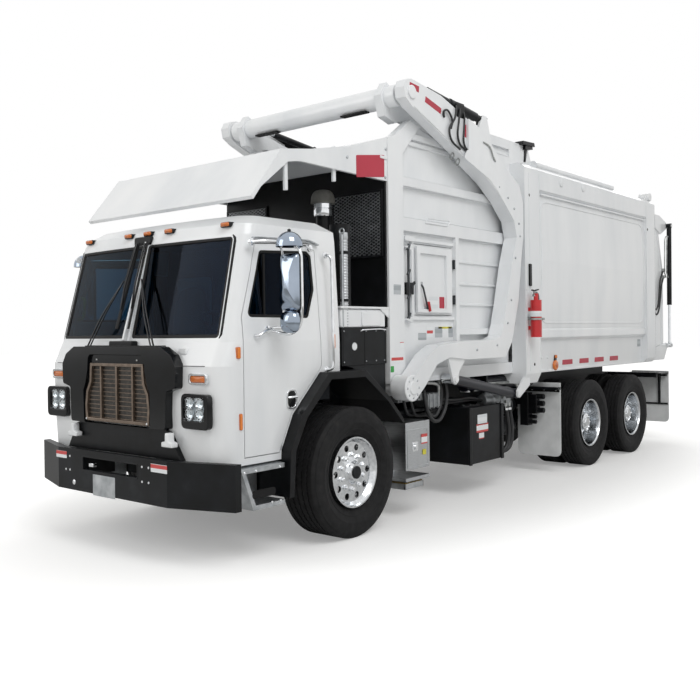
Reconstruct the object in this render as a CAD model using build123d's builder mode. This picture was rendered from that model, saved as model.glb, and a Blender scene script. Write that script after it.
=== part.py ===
"""A cab-over refuse truck that loads over its cab, at full size, in millimetres.

The front faces -Y, the driver's side is +X and +Z is up. The origin is on the ground,
in the middle of the whole truck. Outlines are (y, z) points seen from the driver's side,
with y measured back from the front axle, and at() turns such a y into the model's own.
"""
import os
from math import hypot

from build123d import *

os.makedirs("parts", exist_ok=True)

# Overall sizes
bumper_reach = 1542
tail_reach = 7580
front_axle_y = -(tail_reach - bumper_reach) / 2
half_width = 1219
running_gap = 0.05
panel_gap = 6

# Wheels and axles
rear_axle_places = (4639, 5991)
wheel_rim_inset = 25
front_tyre_radius = 536
rear_tyre_radius = 526
front_tyre_width = 385
rear_tyre_width = 279
bead_radius = 290
twin_spacing = 335
tyre_outer_face = half_width + 1
kingpin_x = tyre_outer_face - 420
kingpin_radius = 22
kingpin_eye_radius = 55
kingpin_eye_height = 110
knuckle_gap = 6
knuckle_arm = 38
spindle_radius = 45
axle_tube_radius = 75

# Chassis
rail_half_width = 430
rail_height = 270
rail_flange = 85
rail_web = 12
rail_top = 1030
rail_front = -1240
rail_rear = 7040
cross_member_places = (-1150, 560, 1500, 2700, 4000, 5315, 6900)

# Cab
cab_half_width = half_width - 119
cab_roof_half_width = cab_half_width - 45
cab_front = -1385
cab_rear = -70
cab_bottom = 730
cab_floor = 1130
cab_wall = 45
cab_corner = 150
glass_depth = 12
glass_thickness = 8
door_hinge_y = -1150
screen_base = 1653
screen_top = 2398
screen_half_width = cab_half_width - 115
screen_post = 50

# Body
arm_room = 169
hopper_half_width = half_width - arm_room
hopper_front = 690
hopper_bottom = 1210
hopper_wall = 40
body_front = 2925
body_rear = 6838
body_bottom = 1200
body_top = 3490
body_wall = 45
tail_cylinder_room = 99
tailgate_half_width = half_width - tail_cylinder_room
roof_tube_radius = 52
cover_top = 3745

# Arms and forks
pivot = (780, 1180)
pivot_boss_radius = 115
torque_tube_radius = 80
arm_inner_x = hopper_half_width + 15
arm_outer_x = half_width
fork_axis = (870, 3820)
fork_tube_radius = 98
fork_inner_x = hopper_half_width - 190
fork_thickness = 80
box_inner_x = hopper_half_width + 35
box_outer_x = half_width - 29
crank_x = hopper_half_width + 5
crank_thickness = 20
pin_radius = 25
small_pin_radius = 20
lane_gap = 7


def at(y):
    """The model's y of a place measured back from the front axle."""
    return front_axle_y + y


def cross_plane(y):
    """A plane across the truck whose local axes are x and z and whose normal is -Y."""
    return Plane.XZ.offset(-at(y))


def plate(outline, x_from, x_to, rounding=0):
    """A plate with a side outline, from one x to another."""
    points = [(at(y), z) for y, z in outline]
    with BuildPart(mode=Mode.PRIVATE) as made:
        with BuildSketch(Plane.YZ.offset(x_from)) as side:
            Polygon(*points, align=None)
            if rounding:
                fillet(side.vertices(), rounding)
        extrude(amount=x_to - x_from)
    return made.part


def slab(x_from, x_to, y_from, y_to, z_from, z_to):
    """A block between two corners."""
    with BuildPart(mode=Mode.PRIVATE) as made:
        with BuildSketch(Plane.XY.offset(z_from)):
            with Locations(((x_from + x_to) / 2, at((y_from + y_to) / 2))):
                Rectangle(abs(x_to - x_from), abs(y_to - y_from))
        extrude(amount=z_to - z_from)
    return made.part


def bar(centre, radius, x_from, x_to, bore=0):
    """A round bar or tube along X at a (y, z) place."""
    with BuildPart(mode=Mode.PRIVATE) as made:
        with BuildSketch(Plane.YZ.offset(x_from)):
            with Locations((at(centre[0]), centre[1])):
                Circle(radius)
                if bore:
                    Circle(bore, mode=Mode.SUBTRACT)
        extrude(amount=x_to - x_from)
    return made.part


def rod_between(start, end, radius, bore=0):
    """A round rod between two (x, y, z) places, with y measured from the front axle."""
    foot = Vector(start[0], at(start[1]), start[2])
    head = Vector(end[0], at(end[1]), end[2])
    with BuildPart(mode=Mode.PRIVATE) as made:
        with BuildSketch(Plane(origin=foot, z_dir=head - foot)):
            Circle(radius)
            if bore:
                Circle(bore, mode=Mode.SUBTRACT)
        extrude(amount=(head - foot).length)
    return made.part


def mirrored(piece):
    """The same piece on the other side of the truck."""
    with BuildPart(mode=Mode.PRIVATE) as made:
        mirror(piece, about=Plane.YZ)
    return made.part


def along(start, end, distance):
    """The (y, z) point at a distance from one point towards another."""
    share = distance / hypot(end[0] - start[0], end[1] - start[1])
    return (start[0] + share * (end[0] - start[0]), start[1] + share * (end[1] - start[1]))


# Chassis frame: two channels joined by cross members
def channel(y_from, y_to):
    """The driver's side rail, a channel that opens inwards."""
    with BuildPart(mode=Mode.PRIVATE) as made:
        with BuildSketch(cross_plane(y_to)):
            with Locations((rail_half_width - rail_flange / 2, rail_top - rail_height / 2)):
                Rectangle(rail_flange, rail_height)
            inner = rail_half_width - rail_flange / 2 - rail_web
            with Locations((inner, rail_top - rail_height / 2)):
                Rectangle(rail_flange, rail_height - 2 * rail_web, mode=Mode.SUBTRACT)
        extrude(amount=y_to - y_from)
    return made.part


rail = channel(rail_front, rail_rear)
web_x = rail_half_width - rail_web
cross_members = [
    slab(-web_x, web_x, y - 40, y + 40, rail_top - rail_height + 40, rail_top - 40)
    for y in cross_member_places
]
engine_bottom = 640
shaft_radius = 50
housing_radius = 210
shaft_head = (0, 500, engine_bottom + 200)
shaft_tail = (0, rear_axle_places[0] - housing_radius - 4, rear_tyre_radius + 20)
shaft_tunnel = rod_between(shaft_head, shaft_tail, shaft_radius + 30)
bumper_depth = 60
stay_inner_x = rail_half_width - 80
stay_bottom = 560
stay_top = 715
bumper_stay = slab(stay_inner_x, rail_half_width, bumper_depth - bumper_reach, rail_front, stay_bottom, stay_top)
stay_web = slab(
    stay_inner_x,
    rail_half_width,
    rail_front - 10,
    rail_front + 80,
    stay_top,
    rail_top - rail_height,
)
guard_half_width = half_width - 69
guard_beam = slab(-guard_half_width, guard_half_width, rail_rear, rail_rear + 60, 960, 1030)
guard_post_x = (guard_half_width - 450, guard_half_width - 390)
guard_post = slab(*guard_post_x, rail_rear + 20, rail_rear + 60, 560, 960)
guard_bar = slab(-guard_half_width + 250, guard_half_width - 250, rail_rear, rail_rear + 80, 520, 580)
flap_edge_x = half_width - 19
rear_flap_y = 7420
front_flap_y = 3800
rear_flap_hanger = slab(650, flap_edge_x, rail_rear + 60, rear_flap_y - 6, 1000, 1020)
front_flap_hanger = slab(rail_half_width, flap_edge_x, front_flap_y - 80, front_flap_y - 6, 980, 1010)
with BuildPart() as chassis_frame:
    for piece in (rail, bumper_stay, stay_web, guard_post, rear_flap_hanger, front_flap_hanger):
        add(piece)
        add(mirrored(piece))
    add(cross_members)
    add(guard_beam)
    add(guard_bar)
    add(shaft_tunnel, mode=Mode.SUBTRACT)
chassis_frame.part.label = "chassis_frame"
export_step(chassis_frame.part, "parts/chassis_frame.step")

# Engine, gearbox and drive shafts, plain masses at their real places
engine = slab(-330, 330, -1090, 280, engine_bottom, rail_top - 40)
gearbox = slab(-200, 200, 280, 500, engine_bottom + 60, rail_top - 90)
first_shaft = rod_between(shaft_head, shaft_tail, shaft_radius)
link_head = (0, rear_axle_places[0] + housing_radius + 4, rear_tyre_radius)
link_tail = (0, rear_axle_places[1] - housing_radius - 4, rear_tyre_radius)
link_shaft = rod_between(link_head, link_tail, shaft_radius)
with BuildPart() as drive_line:
    add(engine)
    add(gearbox)
    add(first_shaft)
    add(link_shaft)
drive_line.part.label = "drive_line"
export_step(drive_line.part, "parts/drive_line.step")


# Tyres and wheels, each a revolve about X
def tyre_ring(centre_x, axle_y, radius, width):
    """A tyre as a ring with bulged sides."""
    half = width / 2
    tread_half = half * 0.80
    shoulder = radius - 22
    middle = (radius + bead_radius) / 2
    bead_half = half * 0.66
    with BuildPart(mode=Mode.PRIVATE) as made:
        hub_plane = Plane(origin=(centre_x, at(axle_y), radius), x_dir=(1, 0, 0), z_dir=(0, -1, 0))
        with BuildSketch(hub_plane):
            with BuildLine():
                Line((-bead_half, bead_radius), (bead_half, bead_radius))
                ThreePointArc((bead_half, bead_radius), (half, middle), (half * 0.93, shoulder))
                Line((half * 0.93, shoulder), (tread_half, radius))
                Line((tread_half, radius), (-tread_half, radius))
                Line((-tread_half, radius), (-half * 0.93, shoulder))
                ThreePointArc((-half * 0.93, shoulder), (-half, middle), (-bead_half, bead_radius))
            make_face()
        revolve(axis=Axis((centre_x, at(axle_y), radius), (1, 0, 0)))
    return made.part


def wheel_disc(outer_x, inner_x, disc_x, hub_x, axle_y, radius, bore):
    """A rim with its disc, hub and hand holes, from its outer edge to its inner edge."""
    rim = bead_radius - 1
    axis_plane = Plane(origin=(0, at(axle_y), radius), x_dir=(1, 0, 0), z_dir=(0, -1, 0))
    with BuildPart(mode=Mode.PRIVATE) as made:
        with BuildSketch(axis_plane):
            with BuildLine():
                Polyline(
                    (outer_x, rim),
                    (inner_x, rim),
                    (inner_x, rim - 16),
                    (disc_x - 20, rim - 26),
                    (disc_x - 20, 150),
                    (disc_x - 60, 140),
                    (disc_x - 60, bore),
                    (hub_x, bore),
                    (hub_x, 70),
                    (disc_x + 14, 95),
                    (disc_x + 4, 150),
                    (disc_x + 4, rim - 44),
                    (outer_x - 14, rim - 20),
                    (outer_x, rim - 12),
                    close=True,
                )
            make_face()
        revolve(axis=Axis((0, at(axle_y), radius), (1, 0, 0)))
        disc_plane = Plane(origin=(disc_x - 40, at(axle_y), radius), x_dir=(0, 1, 0), z_dir=(1, 0, 0))
        with BuildSketch(disc_plane):
            with PolarLocations(205, 10):
                Circle(27)
        extrude(amount=80, mode=Mode.SUBTRACT)
    return made.part


front_tyre_x = tyre_outer_face - front_tyre_width / 2
front_tyre = tyre_ring(front_tyre_x, 0, front_tyre_radius, front_tyre_width)
front_bore = spindle_radius + running_gap
rim_x = tyre_outer_face - wheel_rim_inset
front_wheel = wheel_disc(rim_x, rim_x - 325, rim_x - 45, rim_x + 10, 0, front_tyre_radius, front_bore)
with BuildPart() as tyre_front_left:
    add(front_tyre)
tyre_front_left.part.label = "tyre_front_left"
export_step(tyre_front_left.part, "parts/tyre_front_left.step")
with BuildPart() as tyre_front_right:
    mirror(front_tyre, about=Plane.YZ)
tyre_front_right.part.label = "tyre_front_right"
export_step(tyre_front_right.part, "parts/tyre_front_right.step")
with BuildPart() as wheel_front_left:
    add(front_wheel)
wheel_front_left.part.label = "wheel_front_left"
export_step(wheel_front_left.part, "parts/wheel_front_left.step")
with BuildPart() as wheel_front_right:
    mirror(front_wheel, about=Plane.YZ)
wheel_front_right.part.label = "wheel_front_right"
export_step(wheel_front_right.part, "parts/wheel_front_right.step")

outer_twin_x = tyre_outer_face - rear_tyre_width / 2
inner_twin_x = outer_twin_x - twin_spacing
rear_spindle_radius = 60
for index, axle_y in enumerate(rear_axle_places, start=1):
    for side, about in (("left", None), ("right", Plane.YZ)):
        outer_ring = tyre_ring(outer_twin_x, axle_y, rear_tyre_radius, rear_tyre_width)
        inner_ring = tyre_ring(inner_twin_x, axle_y, rear_tyre_radius, rear_tyre_width)
        rear_bore = rear_spindle_radius + running_gap
        wheel = wheel_disc(rim_x, rim_x - 555, rim_x - 195, rim_x - 85, axle_y, rear_tyre_radius, rear_bore)
        with BuildPart() as rear_tyres:
            if about:
                mirror([outer_ring, inner_ring], about=about)
            else:
                add([outer_ring, inner_ring])
        rear_tyres.part.label = f"tyres_rear{index}_{side}"
        export_step(rear_tyres.part, f"parts/tyres_rear{index}_{side}.step")
        with BuildPart() as rear_wheel:
            if about:
                mirror(wheel, about=about)
            else:
                add(wheel)
        rear_wheel.part.label = f"wheel_rear{index}_{side}"
        export_step(rear_wheel.part, f"parts/wheel_rear{index}_{side}.step")

# Front axle: a dropped beam between two king pin eyes
axle_z = front_tyre_radius
beam_drop = 80
beam_half_depth = 55
beam_half_width = 50
with BuildPart() as front_axle:
    with BuildSketch(cross_plane(beam_half_width)):
        Polygon(
            (-kingpin_x, axle_z + beam_half_depth),
            (-kingpin_x + 180, axle_z + beam_half_depth),
            (-kingpin_x + 320, axle_z - beam_drop + beam_half_depth),
            (kingpin_x - 320, axle_z - beam_drop + beam_half_depth),
            (kingpin_x - 180, axle_z + beam_half_depth),
            (kingpin_x, axle_z + beam_half_depth),
            (kingpin_x, axle_z - beam_half_depth),
            (kingpin_x - 180, axle_z - beam_half_depth),
            (kingpin_x - 320, axle_z - beam_drop - beam_half_depth),
            (-kingpin_x + 320, axle_z - beam_drop - beam_half_depth),
            (-kingpin_x + 180, axle_z - beam_half_depth),
            (-kingpin_x, axle_z - beam_half_depth),
            align=None,
        )
    extrude(amount=2 * beam_half_width)
    with BuildSketch(Plane.XY.offset(axle_z - kingpin_eye_height / 2)):
        with Locations((-kingpin_x, at(0)), (kingpin_x, at(0))):
            Circle(kingpin_eye_radius)
    extrude(amount=kingpin_eye_height)
    with BuildSketch(Plane.XY.offset(axle_z - kingpin_eye_height)):
        with Locations((-kingpin_x, at(0)), (kingpin_x, at(0))):
            Circle(kingpin_radius + running_gap)
    extrude(amount=2 * kingpin_eye_height, mode=Mode.SUBTRACT)

# Steering knuckle: a fork round the eye, the king pin and the wheel's spindle
knuckle_reach = 85
fork_low = axle_z - kingpin_eye_height / 2 - knuckle_gap
fork_high = axle_z + kingpin_eye_height / 2 + knuckle_gap
with BuildPart() as knuckle:
    with BuildSketch(Plane.XY.offset(fork_low - knuckle_arm)):
        with Locations((kingpin_x, at(0))):
            Circle(kingpin_eye_radius)
        with Locations((kingpin_x + knuckle_reach / 2 + 10, at(0))):
            Rectangle(knuckle_reach + 20, 2 * kingpin_eye_radius)
    extrude(amount=fork_high - fork_low + 2 * knuckle_arm)
    with BuildSketch(Plane.XY.offset(fork_low)):
        with Locations((kingpin_x, at(0))):
            Circle(kingpin_eye_radius + 12)
    extrude(amount=fork_high - fork_low, mode=Mode.SUBTRACT)
    with BuildSketch(Plane.XY.offset(fork_low - knuckle_arm)):
        with Locations((kingpin_x, at(0))):
            Circle(kingpin_radius)
    extrude(amount=fork_high - fork_low + 2 * knuckle_arm)
    with BuildSketch(Plane.YZ.offset(kingpin_x + knuckle_reach)):
        with Locations((at(0), axle_z)):
            Circle(spindle_radius)
    extrude(amount=rim_x - kingpin_x - knuckle_reach)
with BuildPart() as knuckle_left:
    add(knuckle.part)
knuckle_left.part.label = "knuckle_left"
export_step(knuckle_left.part, "parts/knuckle_left.step")
with BuildPart() as knuckle_right:
    mirror(knuckle.part, about=Plane.YZ)
knuckle_right.part.label = "knuckle_right"
export_step(knuckle_right.part, "parts/knuckle_right.step")

# Rear axles: a tube with a round drive housing and a spindle at each end
rear_spindle_end = rim_x - 115
rear_axle_tube_end = rim_x - 605
tubes = [
    bar((y, rear_tyre_radius), axle_tube_radius, -rear_axle_tube_end, rear_axle_tube_end)
    for y in rear_axle_places
]
spindles = [
    bar((y, rear_tyre_radius), rear_spindle_radius, -rear_spindle_end, rear_spindle_end)
    for y in rear_axle_places
]
with BuildPart() as axles:
    add(front_axle.part)
    add(tubes)
    add(spindles)
    with Locations(*[(0, at(y), rear_tyre_radius) for y in rear_axle_places]):
        Sphere(housing_radius)
axles.part.label = "axles"
export_step(axles.part, "parts/axles.step")


# Springs: front leaf packs, and a beam over each pair of rear axles
def leaf_pack(centre_y, span, low, high, thickness, x_from, x_to):
    """A bowed pack of leaves, low in the middle, as one solid."""
    half = span / 2
    with BuildPart(mode=Mode.PRIVATE) as made:
        with BuildSketch(Plane.YZ.offset(x_from)):
            with BuildLine():
                ThreePointArc(
                    (at(centre_y - half), high), (at(centre_y), low), (at(centre_y + half), high)
                )
                Line((at(centre_y + half), high), (at(centre_y + half), high + 20))
                ThreePointArc(
                    (at(centre_y + half), high + 20),
                    (at(centre_y), low + thickness),
                    (at(centre_y - half), high + 20),
                )
                Line((at(centre_y - half), high + 20), (at(centre_y - half), high))
            make_face()
        extrude(amount=x_to - x_from)
    return made.part


spring_seat = axle_z - beam_drop + beam_half_depth
front_leaves = leaf_pack(0, 1250, spring_seat, 740, 70, 350, 430)
rear_mid = sum(rear_axle_places) / 2
spring_top = rear_tyre_radius + axle_tube_radius
rear_beam_outline = [
    (rear_axle_places[0] - 90, spring_top),
    (rear_axle_places[0] + 90, spring_top),
    (rear_mid, spring_top + 30),
    (rear_axle_places[1] - 90, spring_top),
    (rear_axle_places[1] + 90, spring_top),
    (rear_axle_places[1] + 90, spring_top + 60),
    (rear_mid + 150, rail_top - rail_height),
    (rear_mid - 150, rail_top - rail_height),
    (rear_axle_places[0] - 90, spring_top + 60),
]
rear_beam = plate(rear_beam_outline, 340, 430)
with BuildPart() as springs:
    add(front_leaves)
    add(rear_beam)
    mirror(about=Plane.YZ)
springs.part.label = "springs"
export_step(springs.part, "parts/springs.step")

# Front bumper: a swept-back channel with a recessed tow opening
bumper_low = 437
bumper_high = 770
bumper_flat = 700
bumper_end_back = 180
with BuildPart() as bumper:
    with BuildSketch(Plane.XY.offset(bumper_low)):
        face_y = at(-bumper_reach)
        end_y = face_y + bumper_end_back
        Polygon(
            (-bumper_flat, face_y),
            (bumper_flat, face_y),
            (half_width, end_y),
            (half_width, end_y + bumper_depth),
            (bumper_flat - 30, face_y + bumper_depth),
            (-bumper_flat + 30, face_y + bumper_depth),
            (-half_width, end_y + bumper_depth),
            (-half_width, end_y),
            align=None,
        )
    extrude(amount=bumper_high - bumper_low)
    with BuildSketch(cross_plane(-bumper_reach + 60)):
        with Locations((0, 665)):
            Rectangle(700, 100)
    extrude(amount=60, mode=Mode.SUBTRACT)
bumper.part.label = "bumper"
export_step(bumper.part, "parts/bumper.step")


# Cab: plan sections at a few heights, joined by straight sides
cab_sections = [
    # height, front, half width, corner radius
    (cab_bottom, -1360, cab_half_width, cab_corner),
    (1100, cab_front, cab_half_width, cab_corner),
    (1450, cab_front, cab_half_width, cab_corner),
    (screen_base - 30, -1300, cab_half_width, cab_corner),
    (screen_top + 20, -1105, cab_roof_half_width, cab_corner),
    (2500, -1075, cab_roof_half_width - 12, cab_corner),
    (2575, -960, cab_roof_half_width - 110, cab_corner),
    (2610, -760, cab_roof_half_width - 330, cab_corner),
]
front_bow = 45
roof_start = 2500
roof_rear_slope = 1.5
cab_top = cab_sections[-1][0]


def cab_section(height):
    """The front, half width and corner radius at a height, between the table's sections."""
    below = cab_sections[0]
    for above in cab_sections[1:]:
        if height <= above[0]:
            share = max(0, (height - below[0]) / (above[0] - below[0]))
            return [low + share * (high - low) for low, high in zip(below[1:], above[1:])]
        below = above
    return list(below[1:])


def cab_block(inset, low=cab_bottom, high=cab_top):
    """The cab's outer form, drawn in by an inset, between two heights."""
    between = [row[0] for row in cab_sections if low + 1 < row[0] < high - 1]
    with BuildPart(mode=Mode.PRIVATE) as made:
        for height in [low, *between, high]:
            front, half, corner = cab_section(height)
            rear_step = max(0, (height - roof_start) * roof_rear_slope)
            y_front = at(front + inset)
            y_rear = at(cab_rear - inset - rear_step)
            x = half - inset
            r = corner - inset
            with BuildSketch(Plane.XY.offset(height)):
                with BuildLine():
                    ThreePointArc((-x + r, y_front), (0, y_front - front_bow), (x - r, y_front))
                    RadiusArc((x - r, y_front), (x, y_front + r), -r)
                    Line((x, y_front + r), (x, y_rear))
                    Line((x, y_rear), (-x, y_rear))
                    Line((-x, y_rear), (-x, y_front + r))
                    RadiusArc((-x, y_front + r), (-x + r, y_front), -r)
                make_face()
        loft(ruled=True)
    return made.part


cab_outer = cab_block(0)
cab_ceiling = 2560
cab_inner = cab_block(cab_wall, low=cab_floor, high=cab_ceiling)

door_outline = [
    (door_hinge_y, 786),
    (door_hinge_y, 1800),
    (-1040, 2146),
    (-985, 2345),
    (-400, 2385),
    (-330, 2330),
    (-300, 1420),
    (-322, 1386),
    (-655, 1068),
    (-786, 804),
    (-789, 786),
]
window_outline = [
    (-1105, 1802),
    (-990, 2150),
    (-945, 2300),
    (-420, 2325),
    (-370, 2290),
    (-355, 2020),
    (-440, 1797),
]


def grown(outline, amount):
    """An outline with its edge moved out by an amount."""
    with BuildSketch(Plane.XY, mode=Mode.PRIVATE) as flat:
        Polygon(*outline, align=None)
        offset(amount=amount, kind=Kind.INTERSECTION)
    return flat.sketch


def side_cut(outline, amount, x_from, x_to, rounding=0):
    """A block with a side outline grown by an amount, to cut or keep a door or window."""
    face = grown([(at(y), z) for y, z in outline], amount)
    with BuildPart(mode=Mode.PRIVATE) as made:
        with BuildSketch(Plane.YZ.offset(x_from)) as side:
            add(face)
            if rounding:
                fillet(side.vertices(), rounding)
        extrude(amount=x_to - x_from)
    return made.part


side_span = (cab_half_width - 200, cab_half_width + 100)
door_space = side_cut(door_outline, panel_gap, *side_span)
door_slug = side_cut(door_outline, 0, *side_span)
window_space = side_cut(window_outline, 0, *side_span, 35)
arch_outline = [(-790, 600), (-700, 800), (-640, 1045), (-330, 1330), (0, 1330), (0, 600)]
arch_space = plate(arch_outline, rail_half_width + 50, cab_half_width + 100)
tunnel = slab(-485, 485, -1345, 20, 600, 1090)
step_well = slab(cab_half_width - 580, cab_half_width + 100, -1130, -760, 800, cab_floor + 5)
front_screen_pane = [
    (screen_post / 2, screen_base),
    (screen_half_width, screen_base),
    (screen_half_width - 30, screen_top),
    (screen_post / 2, screen_top),
]


def screen_cut(amount):
    """The two panes' outlines run along Y through the front of the cab."""
    with BuildPart(mode=Mode.PRIVATE) as made:
        with BuildSketch(cross_plane(-1000)) as front:
            Polygon(*front_screen_pane, align=None)
            mirror(about=Plane.YZ)
            offset(amount=amount, kind=Kind.INTERSECTION)
            fillet(front.vertices(), 30)
        extrude(amount=500)
    return made.part


screen_space = screen_cut(0)
with BuildPart() as cab_shell:
    add(cab_outer)
    add(cab_inner, mode=Mode.SUBTRACT)
    for space in (door_space, arch_space, step_well):
        add(space, mode=Mode.SUBTRACT)
        add(mirrored(space), mode=Mode.SUBTRACT)
    add(tunnel, mode=Mode.SUBTRACT)
    add(screen_space, mode=Mode.SUBTRACT)
cab_shell.part.label = "cab_shell"
export_step(cab_shell.part, "parts/cab_shell.step")

door_hollow = cab_block(cab_wall, low=cab_bottom - 100, high=cab_ceiling)
with BuildPart() as door:
    add(cab_outer)
    add(door_hollow, mode=Mode.SUBTRACT)
    add(door_slug, mode=Mode.INTERSECT)
    add(window_space, mode=Mode.SUBTRACT)
with BuildPart() as cab_door_left:
    add(door.part)
cab_door_left.part.label = "cab_door_left"
export_step(cab_door_left.part, "parts/cab_door_left.step")
with BuildPart() as cab_door_right:
    mirror(door.part, about=Plane.YZ)
cab_door_right.part.label = "cab_door_right"
export_step(cab_door_right.part, "parts/cab_door_right.step")

# Glass lies a little inside the outer surface, as thin as real glass
glass_outer = cab_block(glass_depth)
glass_inner = cab_block(glass_depth + glass_thickness)
with BuildPart() as glass_skin:
    add(glass_outer)
    add(glass_inner, mode=Mode.SUBTRACT)
with BuildPart() as windscreen:
    add(glass_skin.part)
    add(screen_space, mode=Mode.INTERSECT)
windscreen.part.label = "windscreen"
export_step(windscreen.part, "parts/windscreen.step")
with BuildPart() as door_glass:
    add(glass_skin.part)
    add(window_space, mode=Mode.INTERSECT)
with BuildPart() as door_glass_left:
    add(door_glass.part)
door_glass_left.part.label = "door_glass_left"
export_step(door_glass_left.part, "parts/door_glass_left.step")
with BuildPart() as door_glass_right:
    mirror(door_glass.part, about=Plane.YZ)
door_glass_right.part.label = "door_glass_right"
export_step(door_glass_right.part, "parts/door_glass_right.step")

# Inside the cab: dashboard, seats and the steering wheel
dash_outline = [(-1300, cab_floor), (-1210, 1560), (-1080, 1600), (-980, 1540), (-1010, cab_floor)]
dash = plate(dash_outline, -cab_half_width + 100, cab_half_width - 100)
seat_base = slab(360, 820, -620, -240, cab_floor, 1480)
seat_back = plate([(-300, 1480), (-240, 1480), (-130, 2140), (-210, 2160)], 370, 810)
with BuildPart() as seats:
    add(seat_base)
    add(seat_back)
    mirror(about=Plane.YZ)
seats.part.label = "seats"
export_step(seats.part, "parts/seats.step")
wheel_hub = Vector(590, at(-850), 1720)
column_foot = Vector(590, at(-1010), 1500)
with BuildPart() as dashboard:
    add(dash)
    with BuildSketch(Plane(origin=wheel_hub, x_dir=(1, 0, 0), z_dir=wheel_hub - column_foot)):
        Circle(220)
        Circle(190, mode=Mode.SUBTRACT)
        Rectangle(400, 30)
        Circle(45)
    extrude(amount=24)
    with BuildSketch(Plane(origin=column_foot, x_dir=(1, 0, 0), z_dir=wheel_hub - column_foot)):
        Circle(28)
    extrude(amount=(wheel_hub - column_foot).length + 2)
dashboard.part.label = "dashboard"
export_step(dashboard.part, "parts/dashboard.step")

# Grille: a moulded surround that stands out from the cab, and four upright mesh panels
surround_outline = [
    (-460, 1600),
    (460, 1600),
    (600, 1510),
    (680, 1380),
    (665, 1290),
    (560, 1270),
    (560, 975),
    (600, 965),
    (720, 760),
    (-720, 760),
    (-600, 965),
    (-560, 975),
    (-560, 1270),
    (-665, 1290),
    (-680, 1380),
    (-600, 1510),
]
opening_outline = [(-400, 1500), (400, 1500), (470, 1340), (440, 985), (-440, 985), (-470, 1340)]
surround_face = -1432
with BuildPart() as grille_surround:
    with BuildSketch(cross_plane(-1340)):
        Polygon(*surround_outline, align=None)
    extrude(amount=-1340 - surround_face)
    add(cab_outer, mode=Mode.SUBTRACT)
    with BuildSketch(cross_plane(-1300)) as opening:
        Polygon(*opening_outline, align=None)
        fillet(opening.vertices(), 40)
    extrude(amount=200, mode=Mode.SUBTRACT)
grille_surround.part.label = "grille_surround"
export_step(grille_surround.part, "parts/grille_surround.step")
with BuildPart() as grille:
    with BuildSketch(cross_plane(-1432)) as face:
        Polygon(*opening_outline, align=None)
        fillet(face.vertices(), 40)
        offset(amount=-4)
    extrude(amount=8)
    for x in (-230, 0, 230):
        add(slab(x - 8, x + 8, -1448, -1440, 990, 1490))
grille.part.label = "grille"
export_step(grille.part, "parts/grille.step")

# Lamps on the front and roof
lamp_places = [
    # x, z, width, height
    (cab_half_width - 220, 1138, 290, 260),
    (cab_half_width - 215, 1357, 190, 90),
]
outer_marker_x = cab_roof_half_width - 83
marker_z = roof_start + 5
marker_x = (-outer_marker_x, -260, 0, 260, outer_marker_x)
with BuildPart() as lamps:
    for x, z, width, height in lamp_places:
        with BuildSketch(cross_plane(-1330)):
            with Locations((x, z), (-x, z)):
                RectangleRounded(width, height, 20)
        extrude(amount=70)
    with BuildSketch(cross_plane(-960)):
        with Locations(*[(x, marker_z) for x in marker_x]):
            RectangleRounded(110, 40, 15)
    extrude(amount=190)
    add(cab_outer, mode=Mode.SUBTRACT)
lamps.part.label = "lamps"
export_step(lamps.part, "parts/lamps.step")


# Mirrors stand out on bent tubes from the doors
def bent_tube(points, radius, bend):
    """A tube along straight runs joined by arcs, through (x, y, z) places."""
    places = [Vector(x, at(y), z) for x, y, z in points]
    with BuildPart(mode=Mode.PRIVATE) as made:
        with BuildLine() as path:
            if len(places) > 2:
                FilletPolyline(*places, radius=bend)
            else:
                Line(*places)
        with BuildSketch(Plane(origin=path.line @ 0, z_dir=path.line % 0)):
            Circle(radius)
        sweep()
    return made.part


mirror_x = cab_half_width + 290
mirror_y = -870
mirror_arm = bent_tube(
    [
        (cab_half_width - 30, -1085, 1770),
        (mirror_x, mirror_y, 1770),
        (mirror_x, mirror_y, 2370),
        (cab_roof_half_width - 15, -900, 2370),
    ],
    12,
    40,
)
with BuildPart() as door_mirror:
    add(mirror_arm)
    add(cab_outer, mode=Mode.SUBTRACT)
    with BuildSketch(cross_plane(mirror_y + 45)):
        with Locations((mirror_x - 90, 2090)):
            RectangleRounded(170, 400, 30)
        with Locations((mirror_x - 90, 1800)):
            Circle(85)
    extrude(amount=33)
with BuildPart() as mirror_left:
    add(door_mirror.part)
mirror_left.part.label = "mirror_left"
export_step(mirror_left.part, "parts/mirror_left.step")
with BuildPart() as mirror_right:
    mirror(door_mirror.part, about=Plane.YZ)
mirror_right.part.label = "mirror_right"
export_step(mirror_right.part, "parts/mirror_right.step")

# Fenders: a bent strip with a side face, open below for the wheel
fender_outer = [
    (-790, 450),
    (-770, 800),
    (-640, 1060),
    (-320, 1368),
    (150, 1368),
    (480, 1120),
    (690, 900),
]
fender_inner = [
    (670, 880),
    (450, 1090),
    (140, 1310),
    (-290, 1310),
    (-585, 1030),
    (-715, 790),
    (-740, 450),
]
fender_piece = plate(fender_outer + fender_inner, half_width - 579, half_width - 19)
with BuildPart() as fenders:
    add(fender_piece)
    add(cab_outer, mode=Mode.SUBTRACT)
    mirror(about=Plane.YZ)
fenders.part.label = "fenders"
export_step(fenders.part, "parts/fenders.step")

# Access steps in front of each fender
step_outline = [(-1250, 716), (-1130, 406), (-800, 406), (-800, 716)]
step_hollow = [(-1200, 680), (-1105, 440), (-800, 440), (-800, 680)]
step_box = plate(step_outline, half_width - 419, half_width - 59)
step_inside = plate(step_hollow, half_width - 359, half_width - 19)
with BuildPart() as access_steps:
    add(step_box)
    add(step_inside, mode=Mode.SUBTRACT)
    mirror(about=Plane.YZ)
access_steps.part.label = "access_steps"
export_step(access_steps.part, "parts/access_steps.step")

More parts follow.
